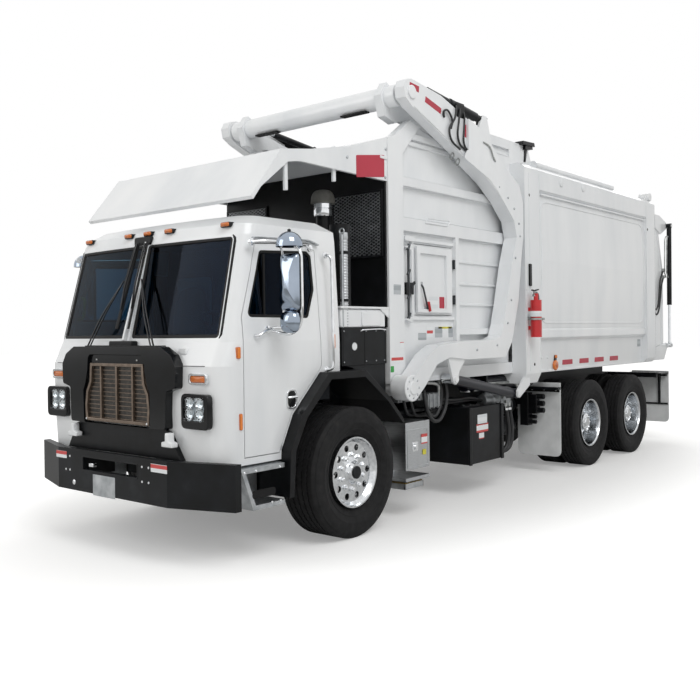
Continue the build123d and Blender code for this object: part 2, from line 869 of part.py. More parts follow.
# Cabinets, heat shield and intake between the cab and the hopper
cabinet_low = 1400
cabinet_high = 1720
cabinet_box = slab(480, hopper_half_width - 10, 30, 650, cabinet_low, cabinet_high)
cabinet_leg = slab(350, 560, 40, 200, rail_top, cabinet_low)
with BuildPart() as side_cabinets:
    add(cabinet_box)
    add(cabinet_leg)
    mirror(about=Plane.YZ)
side_cabinets.part.label = "side_cabinets"
export_step(side_cabinets.part, "parts/side_cabinets.step")
stack_place = (hopper_half_width - 150, 190)
with BuildPart() as exhaust_stack:
    with BuildSketch(Plane.XY.offset(1720)):
        with Locations((stack_place[0], at(stack_place[1]))):
            Circle(90)
            Circle(78, mode=Mode.SUBTRACT)
    extrude(amount=880)
    with BuildSketch(Plane.XY.offset(1720)):
        with Locations((stack_place[0], at(stack_place[1]))):
            Circle(78)
    extrude(amount=20)
exhaust_stack.part.label = "exhaust_stack"
export_step(exhaust_stack.part, "parts/exhaust_stack.step")
with BuildPart() as air_intake:
    with BuildSketch(Plane.XY.offset(1720)):
        with Locations((-stack_place[0], at(stack_place[1]))):
            Circle(110)
    extrude(amount=900)
air_intake.part.label = "air_intake"
export_step(air_intake.part, "parts/air_intake.step")

# Hopper: two ribbed side walls, a front wall and a floor, open on top
hopper_outline = [
    (hopper_front, hopper_bottom),
    (hopper_front, 3410),
    (800, 3450),
    (1040, 3620),
    (1490, 3540),
    (1900, 3330),
    (body_front, 3300),
    (body_front, hopper_bottom),
]
panel_x = hopper_half_width - 45
hopper_side = plate(hopper_outline, panel_x - hopper_wall, panel_x)
front_post = plate(
    [
        (hopper_front, hopper_bottom),
        (hopper_front, 3410),
        (800, 3450),
        (1040, 3620),
        (1200, 3590),
        (920, 3300),
        (920, hopper_bottom),
    ],
    panel_x,
    hopper_half_width,
)
hopper_ribs = [
    # y from, y to, z from, z to
    (920, body_front, 3010, 3090),
    (920, body_front, 2600, 2720),
    (920, body_front, hopper_bottom, hopper_bottom + 120),
    (1840, body_front, 1640, 1700),
    (1800, 1860, hopper_bottom, 2600),
]
rib_plates = [slab(panel_x, hopper_half_width, y0, y1, z0, z1) for y0, y1, z0, z1 in hopper_ribs]
hopper_door_box = (1120, 1790, 1830, 2500)
door_y0, door_y1, door_z0, door_z1 = hopper_door_box
hopper_door_hole = slab(panel_x - 200, hopper_half_width + 100, door_y0, door_y1, door_z0, door_z1)
shaft_hole = bar(pivot, torque_tube_radius + 15, -hopper_half_width - 50, hopper_half_width + 50)
front_wall = slab(-panel_x, panel_x, hopper_front, hopper_front + 60, 1300, 3410)
hopper_floor = slab(-panel_x, panel_x, hopper_front, body_front, 1300, 1350)
cover_half_width = hopper_half_width - 10
cover_front = 2130
cover_side = plate(
    [
        (cover_front, 3280),
        (cover_front, 3560),
        (cover_front + 100, cover_top),
        (body_front, cover_top),
        (body_front, 3280),
    ],
    panel_x - hopper_wall,
    cover_half_width,
)
cover_groove = slab(cover_half_width - 25, half_width, cover_front, body_front, 3565, 3650)
cover_roof = slab(-panel_x, panel_x, cover_front + 100, body_front, cover_top - 45, cover_top)
with BuildPart() as hopper:
    add(cover_side)
    add(cover_groove, mode=Mode.SUBTRACT)
    add(hopper_side)
    add(front_post)
    add(rib_plates)
    mirror(about=Plane.YZ)
    add(front_wall)
    add(hopper_floor)
    add(cover_roof)
    add(hopper_door_hole, mode=Mode.SUBTRACT)
    add(shaft_hole, mode=Mode.SUBTRACT)
hopper.part.label = "hopper"
export_step(hopper.part, "parts/hopper.step")

gap = panel_gap
door_leaf = slab(
    panel_x - hopper_wall,
    panel_x,
    door_y0 + gap,
    door_y1 - gap,
    door_z0 + gap,
    door_z1 - gap,
)
door_frame = slab(panel_x, panel_x + 15, door_y0 + 40, door_y1 - 40, door_z0 + 40, door_z1 - 40)
with BuildPart() as hopper_door:
    add(door_leaf)
    add(door_frame)
hopper_door.part.label = "hopper_door"
export_step(hopper_door.part, "parts/hopper_door.step")

# Canopy over the cab, a thin bent sheet with side skirts
canopy_half_width = hopper_half_width - 10
canopy_sheet = 30
canopy_tip = (-1000, 2700)
canopy_fold = (-670, 3100)
canopy_top_edge = [canopy_tip, canopy_fold, (-330, 3150), (145, 3245), (hopper_front, 3410)]
canopy_top = canopy_top_edge + [
    (hopper_front, 3410 - canopy_sheet),
    (145, 3245 - canopy_sheet),
    (-330, 3150 - canopy_sheet),
    (canopy_fold[0] + 10, canopy_fold[1] - canopy_sheet),
    (canopy_tip[0] + 25, canopy_tip[1] - 20),
]
canopy_skirt = canopy_top_edge + [(hopper_front, 3020), (-457, 3034), (-594, 3010)]
skirt = plate(canopy_skirt, canopy_half_width - canopy_sheet, canopy_half_width)
roof_sheet = plate(canopy_top, -canopy_half_width, canopy_half_width)
with BuildPart() as canopy:
    add(skirt)
    mirror(about=Plane.YZ)
    add(roof_sheet)
canopy.part.label = "canopy"
export_step(canopy.part, "parts/canopy.step")


# Load body: a closed section run along the truck, with a pillar frame at each end
def ring(y_from, y_to, outer, inner):
    """A frame across the truck between two half outlines of (x, z) points."""
    with BuildPart(mode=Mode.PRIVATE) as made:
        with BuildSketch(cross_plane(y_to)):
            Polygon(*(outer + [(-x, z) for x, z in reversed(outer)]), align=None)
            Polygon(*(inner + [(-x, z) for x, z in reversed(inner)]), align=None, mode=Mode.SUBTRACT)
        extrude(amount=y_to - y_from)
    return made.part


side_x = half_width - 35
sill_x = half_width - 89
roof_edge_x = half_width - 69
skin_outer = [
    (sill_x, body_bottom),
    (roof_edge_x, 1560),
    (side_x, 1700),
    (half_width - 8, 2450),
    (side_x, 3200),
    (half_width, 3230),
    (half_width, 3440),
    (roof_edge_x, body_top),
]
skin_inner = [
    (sill_x - body_wall, body_bottom + 80),
    (roof_edge_x - body_wall, 1580),
    (side_x - body_wall, 1715),
    (half_width - 8 - body_wall, 2450),
    (side_x - body_wall, 3200),
    (side_x - body_wall, 3400),
    (roof_edge_x - 30, body_top - body_wall),
]
tucked_x = half_width - 49
pillar_outer = [(tucked_x, 1095), (half_width, 1200), (half_width, 3400), (roof_edge_x, body_top)]
post_outer = [(tucked_x, body_bottom), (half_width, 1260), (half_width, 3440), (roof_edge_x, body_top)]
frame_x = roof_edge_x - 100
frame_inner = [(frame_x, body_bottom + 80), (frame_x, 3400)]
skin = ring(body_front, body_rear, skin_outer, skin_inner)
pillar = ring(body_front, body_front + 350, pillar_outer, frame_inner)
post = ring(body_rear - 330, body_rear, post_outer, frame_inner)
front_header = slab(-frame_x, frame_x, body_front, body_front + 60, 3250, 3400)
cover_end = plate(
    [(body_front, body_top - 5), (body_front, cover_top), (3340, cover_top), (3480, body_top - 5)],
    -cover_half_width,
    cover_half_width,
)
roof_tube_x = roof_edge_x - 80
roof_tube_z = body_top + roof_tube_radius - 4
roof_tube_ends = [(roof_tube_x, 3420, roof_tube_z), (roof_tube_x, 5620, roof_tube_z)]
roof_tube = rod_between(*roof_tube_ends, roof_tube_radius)
tail_hinge = (6900, 3560)
upper_pin = (7540, 3200)
lower_pin = (7520, 1420)
lift_tip = (1540, 1220)
lift_base = (2800, 1000)
lift_lane = (hopper_half_width + 16, hopper_half_width + 120)
lift_lug = (lift_lane[1] + lane_gap, lift_lane[1] + lane_gap + 24)
lift_base_outline = [
    (2768, 972),
    (2800, 955),
    (2838, 972),
    (3040, 1080),
    (3040, 1190),
    (2940, 1190),
    (2765, 1028),
]
lift_base_lug = plate(lift_base_outline, *lift_lug)
lift_base_pin = bar(lift_base, pin_radius, lift_lane[0], lift_lug[1] + 8)
bracket_outline = [
    (6700, body_top - 60),
    (body_rear, body_top - 60),
    (body_rear, body_top - 5),
    (6960, 3520),
    (6960, 3610),
    (6860, 3610),
]
hinge_x = tailgate_half_width - 70
hinge_brackets = [plate(bracket_outline, x, x + 20) for x in (hinge_x - 56, hinge_x + 36)]
hinge_pin = bar(tail_hinge, pin_radius, hinge_x - 56, hinge_x + 56)
stay_inner_x = tailgate_half_width + lane_gap
stay_outline = [(6600, 1210), (6600, 1330), (7480, 1455), (7550, 1450), (7550, 1390), (7400, 1210)]
tail_stay = plate(stay_outline, stay_inner_x, stay_inner_x + 16)
with BuildPart() as load_body:
    for piece in (skin, pillar, post, front_header, cover_end, roof_tube):
        add(piece)
    for piece in (*hinge_brackets, hinge_pin, tail_stay, lift_base_lug, lift_base_pin):
        add(piece)
        add(mirrored(piece))
load_body.part.label = "load_body"
export_step(load_body.part, "parts/load_body.step")

# Subframe that carries hopper and body on the chassis
subframe_rail = slab(345, 430, hopper_front + 200, body_rear, rail_top, body_bottom)
rest_x = (rail_half_width - rail_flange, rail_half_width)
hopper_floor_rest = 1300
hopper_rest = slab(*rest_x, hopper_front + 200, body_front, body_bottom, hopper_floor_rest)
pivot_bracket = plate([(590, rail_top), (970, rail_top), (850, 1280), (710, 1280)], *rest_x)
pivot_hole = bar(pivot, torque_tube_radius + running_gap, 300, 500)
with BuildPart() as subframe:
    add(subframe_rail)
    add(hopper_rest)
    add(pivot_bracket)
    add(pivot_hole, mode=Mode.SUBTRACT)
    mirror(about=Plane.YZ)
    add(load_body.part, mode=Mode.SUBTRACT)
subframe.part.label = "subframe"
export_step(subframe.part, "parts/subframe.step")

# Packer blade: a hollow box that fills the hopper's width
blade_outline = [(800, 1360), (1100, 1360), (1100, 2250), (1000, 2350), (800, 2350)]
blade_hollow = [(800, 1420), (1060, 1420), (1060, 2200), (980, 2300), (800, 2300)]
blade_body = plate(blade_outline, -panel_x + hopper_wall + 15, panel_x - hopper_wall - 15)
blade_inside = plate(blade_hollow, -panel_x + hopper_wall + 60, panel_x - hopper_wall - 60)
with BuildPart() as packer_blade:
    add(blade_body)
    add(blade_inside, mode=Mode.SUBTRACT)
packer_blade.part.label = "packer_blade"
export_step(packer_blade.part, "parts/packer_blade.step")

# Tailgate: a bulged shell, open towards the body
tailgate_front = body_rear + panel_gap
tailgate_outline = [
    (tailgate_front, 1210),
    (tailgate_front, 3470),
    (7050, 3470),
    (7250, 3120),
    (7430, 2550),
    (7440, 1260),
    (7400, 1210),
]
tailgate_hollow = [
    (tailgate_front, 1270),
    (tailgate_front, 3410),
    (7020, 3410),
    (7200, 3090),
    (7370, 2530),
    (7380, 1270),
]
tail_skin = plate(tailgate_outline, -tailgate_half_width, tailgate_half_width)
tail_inside = plate(tailgate_hollow, -tailgate_half_width + 50, tailgate_half_width - 50)
upper_lug_outline = [
    (7080, 3330),
    (7250, 3330),
    (7545, 3245),
    (tail_reach, upper_pin[1]),
    (7545, 3160),
    (7300, 3060),
    (7080, 3140),
]
tail_lug = plate(upper_lug_outline, tailgate_half_width - 10, stay_inner_x + 16)
tail_lane = (stay_inner_x + 16 + lane_gap, stay_inner_x + 16 + lane_gap + 68)
tail_pin = bar(upper_pin, small_pin_radius, tailgate_half_width, tail_lane[1])
strap_outline = [(6870, 3470), (6870, 3600), (6960, 3600), (7050, 3470)]
hinge_strap = plate(strap_outline, hinge_x - 30, hinge_x + 30)
hinge_bore = bar(tail_hinge, pin_radius + running_gap, hinge_x - 50, hinge_x + 50)
with BuildPart() as tailgate:
    add(tail_skin)
    add(tail_inside, mode=Mode.SUBTRACT)
    for piece in (tail_lug, tail_pin, hinge_strap):
        add(piece)
        add(mirrored(piece))
    add(hinge_bore, mode=Mode.SUBTRACT)
    add(mirrored(hinge_bore), mode=Mode.SUBTRACT)
tailgate.part.label = "tailgate"
export_step(tailgate.part, "parts/tailgate.step")


# Cylinders: a barrel and a rod, each with a broad eye that lies beside the lug it is pinned to
fork_crank = (1095, 3902)
fork_base = (2020, 3800)
fork_lane = (crank_x - lane_gap - 68, crank_x - lane_gap)
cylinders = {
    # name: base, tip, (x from, x to), barrel length, rod radius, pin radius
    "lift": (lift_base, lift_tip, lift_lane, 1190, 32, pin_radius),
    "fork": (fork_base, fork_crank, fork_lane, 640, 20, small_pin_radius),
    "tail": (upper_pin, lower_pin, tail_lane, 1180, 22, small_pin_radius),
}


def cylinder(base, tip, lane, barrel_length, rod_radius, pin):
    """A barrel that is pinned at its base, and the rod in it that ends in an eye at the tip."""
    middle = sum(lane) / 2
    radius = (lane[1] - lane[0]) / 2
    neck = 0.8 * radius
    seat = radius + 20
    mouth = along(base, tip, barrel_length)
    beyond = along(base, tip, barrel_length + 5)
    tube = rod_between((middle, *along(base, tip, neck)), (middle, *mouth), radius)
    hole = rod_between((middle, *along(base, tip, seat)), (middle, *beyond), rod_radius + running_gap)
    neck_end = (middle, *along(tip, base, neck))
    shaft = rod_between((middle, *along(base, tip, seat + 5)), neck_end, rod_radius)
    collar = rod_between((middle, *along(tip, base, radius + 14)), neck_end, 0.8 * radius)
    with BuildPart(mode=Mode.PRIVATE) as barrel:
        add(tube)
        add(bar(base, radius, *lane))
        add(bar(base, pin + running_gap, lane[0] - 5, lane[1] + 5), mode=Mode.SUBTRACT)
        add(hole, mode=Mode.SUBTRACT)
    with BuildPart(mode=Mode.PRIVATE) as rod:
        add(shaft)
        add(collar)
        add(bar(tip, radius, *lane))
        add(bar(tip, pin + running_gap, lane[0] - 5, lane[1] + 5), mode=Mode.SUBTRACT)
    return barrel.part, rod.part


for name, numbers in cylinders.items():
    barrel_piece, rod_piece = cylinder(*numbers)
    with BuildPart() as barrels:
        add(barrel_piece)
        mirror(about=Plane.YZ)
    barrels.part.label = f"{name}_barrels"
    export_step(barrels.part, f"parts/{name}_barrels.step")
    with BuildPart() as rods:
        add(rod_piece)
        mirror(about=Plane.YZ)
    rods.part.label = f"{name}_rods"
    export_step(rods.part, f"parts/{name}_rods.step")

# Lift arms: C-shaped boxes that pass round the cab when they come down
arm_outline = [
    (1790, 3350),
    (2190, 3180),
    (2460, 3020),
    (2690, 2830),
    (2745, 2660),
    (2630, 2370),
    (2520, 1980),
    (2440, 1740),
    (2380, 1620),
    (2250, 1585),
    (1680, 1580),
    (1240, 1550),
    (1060, 1470),
    (840, 1290),
    (700, 1250),
    (680, 1130),
    (780, 1066),
    (860, 1080),
    (1000, 1190),
    (1190, 1370),
    (1410, 1430),
    (1740, 1400),
    (2480, 1400),
    (2620, 1560),
    (2770, 2000),
    (2830, 2380),
    (2890, 2690),
    (2895, 2900),
    (2890, 3050),
    (2810, 3220),
    (2450, 3400),
    (2140, 3640),
    (1790, 3750),
]
arm_plate = plate(arm_outline, arm_inner_x, arm_outer_x, 12)
pivot_boss = bar(pivot, pivot_boss_radius, arm_inner_x, arm_outer_x)
arm_pin_head = bar(lift_tip, 34, lift_lug[0], lift_lug[1] + 12)
arm_lug = plate(
    [(1400, 1440), (1500, 1190), (1540, 1165), (1582, 1190), (1600, 1290), (1740, 1420)],
    *lift_lug,
)
upper_box_outline = [
    (870, 3940),
    (1350, 3885),
    (2150, 3655),
    (2400, 3400),
    (1790, 3350),
    (870, 3700),
    (770, 3760),
    (750, 3850),
    (790, 3920),
]
upper_box = plate(upper_box_outline, box_inner_x, box_outer_x)
fork_bore = bar(fork_axis, 45 + running_gap, box_inner_x - 10, box_outer_x + 10)
fork_base_lug = plate(
    [(1900, 3740), (1985, 3820), (2020, 3834), (2055, 3820), (2140, 3660), (2140, 3600), (1900, 3600)],
    crank_x,
    box_inner_x,
)
fork_base_pin = bar(fork_base, small_pin_radius, fork_lane[0], crank_x)
torque_tube = bar(pivot, torque_tube_radius, -arm_inner_x, arm_inner_x)
with BuildPart() as arm:
    add(arm_plate)
    add(pivot_boss)
    add(arm_lug)
    add(arm_pin_head)
    add(upper_box)
    add(fork_bore, mode=Mode.SUBTRACT)
    add(fork_base_lug)
    add(fork_base_pin)
with BuildPart() as lift_arms:
    add(arm.part)
    mirror(about=Plane.YZ)
    add(torque_tube)
lift_arms.part.label = "lift_arms"
export_step(lift_arms.part, "parts/lift_arms.step")

# Fork shaft with cranks, and two forks folded back over the hopper
crank_outline = [
    (fork_axis[0] - 40, fork_axis[1] + 80),
    (fork_crank[0] - 20, fork_crank[1] + 34),
    (fork_crank[0] + 25, fork_crank[1] + 22),
    (fork_crank[0] + 30, fork_crank[1] - 20),
    (fork_axis[0] + 60, fork_axis[1] - 70),
]
crank = plate(crank_outline, crank_x, crank_x + crank_thickness)
stub = bar(fork_axis, 45, crank_x - 5, box_outer_x - 10)
tine_outline = [
    (800, 3640),
    (740, 3820),
    (830, 3950),
    (960, 3890),
    (1050, 3800),
    (2050, 3560),
    (2060, 3520),
    (1100, 3640),
    (960, 3600),
]
tine = plate(tine_outline, fork_inner_x, fork_inner_x + fork_thickness)
with BuildPart() as forks:
    add(bar(fork_axis, fork_tube_radius, -crank_x, crank_x))
    for piece in (crank, stub, tine):
        add(piece)
        add(mirrored(piece))
forks.part.label = "forks"
export_step(forks.part, "parts/forks.step")

# Tool box with a step, hydraulic tank, fuel tank and mud flaps
tool_box_edge = half_width - 89
tool_box_body = slab(700, tool_box_edge, 800, 1180, 430, 860)
tool_step = slab(700, tool_box_edge, 800, 1180, 330, 360)
tool_hanger = slab(rail_half_width, 700, 900, 1080, 790, 840)
tool_legs = slab(720, 740, 820, 1160, 360, 430)
with BuildPart() as tool_box:
    add(tool_box_body)
    add(tool_step)
    add(tool_hanger)
    add(tool_legs)
tool_box.part.label = "tool_box"
export_step(tool_box.part, "parts/tool_box.step")
hydraulic_box = slab(560, half_width - 139, 1950, 2660, 330, 900)
hydraulic_hanger = slab(rail_half_width, 560, 2100, 2500, 790, 880)
fuel_tank_radius = 290
fuel_tank_place = (-half_width + 99 + fuel_tank_radius, 600)
fuel_hanger_inset = 60
fuel_hanger_x = (fuel_tank_place[0] + fuel_tank_radius - fuel_hanger_inset, -rail_half_width)
fuel_hanger = slab(*fuel_hanger_x, 1700, 2000, 790, 860)
with BuildPart() as tanks:
    with BuildSketch(cross_plane(2400)):
        with Locations(fuel_tank_place):
            Circle(fuel_tank_radius)
    extrude(amount=1100)
    for piece in (hydraulic_box, hydraulic_hanger, fuel_hanger):
        add(piece)
tanks.part.label = "tanks"
export_step(tanks.part, "parts/tanks.step")
flap_rows = [
    # y, low, high
    (front_flap_y, 200, 1060),
    (rear_flap_y, 280, 1040),
]
with BuildPart() as mud_flaps:
    for y, low, high in flap_rows:
        with BuildSketch(Plane.XY.offset(low)):
            with Locations((flap_edge_x - 275, at(y)), (275 - flap_edge_x, at(y))):
                Rectangle(550, 12)
        extrude(amount=high - low)
mud_flaps.part.label = "mud_flaps"
export_step(mud_flaps.part, "parts/mud_flaps.step")

# Fire extinguisher on the driver's side pillar
bottle_radius = 60
bottle_place = (half_width + 24 + bottle_radius, 3000)
with BuildPart() as extinguisher:
    with BuildSketch(Plane.XY.offset(1600)):
        with Locations((bottle_place[0], at(bottle_place[1]))):
            Circle(bottle_radius)
    extrude(amount=400)
    with BuildSketch(Plane.XY.offset(2000)):
        with Locations((bottle_place[0], at(bottle_place[1]))):
            Circle(25)
    extrude(amount=70)
    for z in (1680, 1880):
        add(slab(half_width, half_width + 40, bottle_place[1] - 30, bottle_place[1] + 30, z, z + 40))
extinguisher.part.label = "extinguisher"
export_step(extinguisher.part, "parts/extinguisher.step")
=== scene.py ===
# %% [markdown]
# # A front-loading refuse truck
#
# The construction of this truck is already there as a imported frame: every panel, arm, wheel
# and cylinder at its real size. This lesson dresses it. Each step says what a piece is on
# the real truck, how it could be made in Blender, and why one way was chosen.
#
# The front faces -Y, the driver's side is +X, +Z is up, and all lengths are in metres.

import bmesh
import bpy
import numpy as np
from mathutils import Matrix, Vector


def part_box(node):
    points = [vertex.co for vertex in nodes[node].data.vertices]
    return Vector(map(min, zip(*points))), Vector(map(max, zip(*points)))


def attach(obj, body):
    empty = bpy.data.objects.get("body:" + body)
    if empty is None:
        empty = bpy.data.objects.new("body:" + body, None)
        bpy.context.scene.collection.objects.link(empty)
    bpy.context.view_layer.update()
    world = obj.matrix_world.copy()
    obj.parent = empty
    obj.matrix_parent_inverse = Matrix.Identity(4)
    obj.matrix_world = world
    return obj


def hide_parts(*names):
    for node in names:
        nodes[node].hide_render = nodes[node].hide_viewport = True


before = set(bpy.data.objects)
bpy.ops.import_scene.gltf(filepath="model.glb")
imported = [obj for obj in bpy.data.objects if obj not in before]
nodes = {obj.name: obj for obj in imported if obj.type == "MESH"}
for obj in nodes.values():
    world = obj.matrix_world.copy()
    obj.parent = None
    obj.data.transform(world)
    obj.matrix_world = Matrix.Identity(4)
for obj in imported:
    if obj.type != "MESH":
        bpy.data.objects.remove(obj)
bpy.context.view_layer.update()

# %% [markdown]
# ## Where things are
#
# Places along the truck are easiest to give from the front axle, as a maker's drawing does.
# The front tyre's box gives that axle, so nothing is measured twice.

# %% Places along the truck
tyre_low, tyre_high = (np.array(corner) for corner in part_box("tyre_front_left"))
FRONT_AXLE = (tyre_low[1] + tyre_high[1]) / 2
print("front axle y", round(float(FRONT_AXLE), 4))


def along(y):
    """The frame's y of a place measured back from the front axle."""
    return FRONT_AXLE + y


# %% [markdown]
# ## The camera
#
# The photograph was taken from the front corner at chest height. The camera's place, turn
# and lens come from the wheels and the body's straight edges, whose real sizes are known.
# A small shift stands in for the picture's crop.

# %% Camera at the photograph's angle
CAMERA_PLACE = (5.551, -5.408, 1.696)
CAMERA_AZIMUTH = 40.328
CAMERA_ELEVATION = 0.345
CAMERA_ROLL = -0.698
FOCAL_PIXELS = 849.79
PICTURE = 700
CENTRE = (331.99, 335.79)
SENSOR = 36.0

azimuth, elevation, roll = np.radians([CAMERA_AZIMUTH, CAMERA_ELEVATION, CAMERA_ROLL])
ahead = np.array([-np.sin(azimuth) * np.cos(elevation), np.cos(azimuth) * np.cos(elevation),
                  -np.sin(elevation)])
level_right = np.array([np.cos(azimuth), np.sin(azimuth), 0.0])
level_up = np.cross(level_right, ahead)
right = level_right * np.cos(roll) + level_up * np.sin(roll)
up = -level_right * np.sin(roll) + level_up * np.cos(roll)
camera_data = bpy.data.cameras.new("camera")
camera_data.sensor_width = SENSOR
camera_data.lens = FOCAL_PIXELS / PICTURE * SENSOR
camera_data.shift_x = (PICTURE / 2 - CENTRE[0]) / PICTURE
camera_data.shift_y = (CENTRE[1] - PICTURE / 2) / PICTURE
camera_data.clip_end = 200
camera = bpy.data.objects.new("camera", camera_data)
bpy.context.scene.collection.objects.link(camera)
turn = Matrix((
    (right[0], up[0], -ahead[0], CAMERA_PLACE[0]),
    (right[1], up[1], -ahead[1], along(CAMERA_PLACE[1])),
    (right[2], up[2], -ahead[2], CAMERA_PLACE[2]),
    (0, 0, 0, 1),
))
camera.matrix_world = turn
bpy.context.scene.camera = camera
print("lens", round(camera_data.lens, 2), "mm")

# %% [markdown]
# ## Shapes as arrays
#
# Every added piece is a surface worked out with numpy. A shape here is a pair: an array of
# points, and a list of face arrays that name them. A grid of points gives quads, an outline
# carried straight gives a plate, an outline turned about a line gives a round part, and a
# circle carried along a path gives a tube. Whole arrays are computed at once, so a change to
# one number redraws the piece.

# %% Grids, plates and blocks
def grid(points, wrap_rows=False, wrap_columns=True, caps=True):
    """Quads over P[i, j]: each joins (i, j), (i+1, j), (i+1, j+1), (i, j+1); caps close the end rings."""
    rows, columns = points.shape[:2]
    i, j = np.meshgrid(np.arange(rows - (not wrap_rows)), np.arange(columns - (not wrap_columns)),
                       indexing="ij")
    next_i, next_j = (i + 1) % rows, (j + 1) % columns
    quads = np.stack([i * columns + j, next_i * columns + j, next_i * columns + next_j,
                      i * columns + next_j], -1).reshape(-1, 4)
    faces = [quads]
    if caps and not wrap_rows:
        ring = np.arange(columns)[None]
        faces += [ring, (rows - 1) * columns + ring[:, ::-1]]
    return points.reshape(-1, 3).astype(float), faces


def joined(*shapes):
    """Several shapes as one: the points are stacked and the faces renumbered by what came before."""
    starts = np.cumsum([0] + [len(points) for points, faces in shapes])
    return (np.concatenate([points for points, faces in shapes]),
            [face + start for (points, faces), start in zip(shapes, starts) for face in faces])


def moved(shape, by):
    """The shape shifted by a vector."""
    return shape[0] + np.asarray(by, float), shape[1]


def flipped(shape):
    """The shape mirrored to the other side of the truck: x becomes -x."""
    return shape[0] * np.array([-1.0, 1.0, 1.0]), shape[1]


def both(*shapes):
    """The shapes and their mirror image."""
    shape = joined(*shapes)
    return joined(shape, flipped(shape))


SIDES = (("left", lambda shape: shape), ("right", flipped))


def turned(shape, axis, angle, centre=(0, 0, 0)):
    """The shape turned about an axis through a centre, by Rodrigues' formula on all points at once."""
    k = np.asarray(axis, float) / np.linalg.norm(axis)
    p = shape[0] - np.asarray(centre, float)
    cosine, sine = np.cos(angle), np.sin(angle)
    p = p * cosine + np.cross(k, p) * sine + np.outer(p @ k, k) * (1 - cosine)
    return p + np.asarray(centre, float), shape[1]


print("shapes can be joined, moved, mirrored and turned")


# %% Outlines carried straight, and outlines with round corners
def prism(outline, low, high, across):
    """An outline carried straight: across "x" reads it as (y, z), "y" as (x, z) and "z" as (x, y)."""
    flat = np.asarray(outline, float)
    order = {"x": [2, 0, 1], "y": [0, 2, 1], "z": [0, 1, 2]}[across]
    rings = np.stack([np.column_stack([flat, np.full(len(flat), level)]) for level in (low, high)])
    return grid(rings[..., order])


def side_plate(outline, x_low, x_high):
    """A plate whose outline is (y from the front axle, z), between two x."""
    flat = np.asarray(outline, float) + [FRONT_AXLE, 0]
    return prism(flat, x_low, x_high, "x")


def block(x, y, z):
    """A box between (low, high) pairs, with y measured from the front axle."""
    return side_plate([(y[0], z[0]), (y[1], z[0]), (y[1], z[1]), (y[0], z[1])], *x)


def rounded(outline, radius, steps=5):
    """The outline with each corner replaced by an arc that touches both of its edges."""
    p = np.asarray(outline, float)
    before, after = np.roll(p, 1, 0) - p, np.roll(p, -1, 0) - p
    long_b, long_a = (np.linalg.norm(v, axis=1, keepdims=True) for v in (before, after))
    before, after = before / long_b, after / long_a
    half = np.arccos(np.clip((before * after).sum(1, keepdims=True), -0.9999, 0.9999)) / 2
    reach = np.minimum(radius / np.tan(half), 0.45 * np.minimum(long_b, long_a))
    t = np.linspace(0, 1, steps + 1)[None, :, None]
    start, end, tip = (p + before * reach)[:, None], (p + after * reach)[:, None], p[:, None]
    return ((1 - t) ** 2 * start + 2 * t * (1 - t) * tip + t ** 2 * end).reshape(-1, 2)


def rectangle(centre, width, height, corner, steps=5):
    """A rectangle with round corners, as an outline."""
    u, v = centre
    w, h = width / 2, height / 2
    return rounded([(u - w, v - h), (u + w, v - h), (u + w, v + h), (u - w, v + h)], corner, steps)


# %% Round parts and tubes
def spun(profile, centre, axis="x", sides=48):
    """Rings of a profile of (along, radius) pairs: centre + along * axis + radius * (cos t, sin t)."""
    along_axis, radius = np.asarray(profile, float).T[:, :, None]
    t = np.linspace(0, 2 * np.pi, sides, endpoint=False)[None]
    order = {"x": [2, 0, 1], "y": [1, 2, 0], "z": [0, 1, 2]}[axis]
    local = np.stack([radius * np.cos(t), radius * np.sin(t), along_axis + 0 * t], -1)
    return grid(local[..., order] + place_of(centre))


def disc(low, high, radius, centre, axis="x", sides=32, bore=0.001):
    """A round plate or a sleeve between two stations along an axis, spun from its section."""
    return spun([(low, bore), (low, radius), (high, radius), (high, bore)], centre, axis, sides)


def place_of(point):
    """A point whose y is measured from the front axle, as the frame's own."""
    return np.array([point[0], along(point[1]), point[2]], float)


print("round parts ready")


# %% Sections carried along a path
def bent_path(points, bend, steps=6):
    """Straight runs through the points with each inner corner turned into a smooth arc."""
    p = np.array([place_of(q) for q in points])
    if len(p) < 3 or not bend:
        return p
    back, on = p[:-2] - p[1:-1], p[2:] - p[1:-1]
    long_b, long_o = (np.linalg.norm(v, axis=1, keepdims=True) for v in (back, on))
    reach_b, reach_o = (np.minimum(bend, 0.45 * v) for v in (long_b, long_o))
    start, end = p[1:-1] + back / long_b * reach_b, p[1:-1] + on / long_o * reach_o
    t = np.linspace(0, 1, steps + 1)[None, :, None]
    arcs = (1 - t) ** 2 * start[:, None] + 2 * t * (1 - t) * p[1:-1, None] + t ** 2 * end[:, None]
    return np.concatenate([p[:1], arcs.reshape(-1, 3), p[-1:]])


def carried(path, profile, caps=True, closed=False):
    """A closed (side, up) profile carried along a path; side and up stay square to its direction."""
    path = np.asarray(path, float)
    ahead = np.roll(path, -1, 0) - np.roll(path, 1, 0) if closed else np.gradient(path, axis=0)
    ahead /= np.linalg.norm(ahead, axis=1, keepdims=True)
    level = np.linalg.svd(ahead)[2][-1]
    side = np.cross(ahead, level)
    side /= np.linalg.norm(side, axis=1, keepdims=True)
    up = np.cross(side, ahead)
    profile = np.asarray(profile, float)
    return grid(path[:, None] + profile[None, :, :1] * side[:, None] + profile[None, :, 1:] * up[:, None],
                wrap_rows=closed, caps=caps)


def circle(radius, sides=14):
    """A circle as an outline: radius * (cos t, sin t)."""
    t = np.linspace(0, 2 * np.pi, sides, endpoint=False)
    return radius * np.column_stack([np.cos(t), np.sin(t)])


def tube(points, radius, bend=0.03, sides=14):
    """A round bar along straight runs and arcs."""
    return carried(bent_path(points, bend), circle(radius, sides))


def bar(points, section):
    """A section carried straight from point to point."""
    return carried(np.array([place_of(point) for point in points]), section)


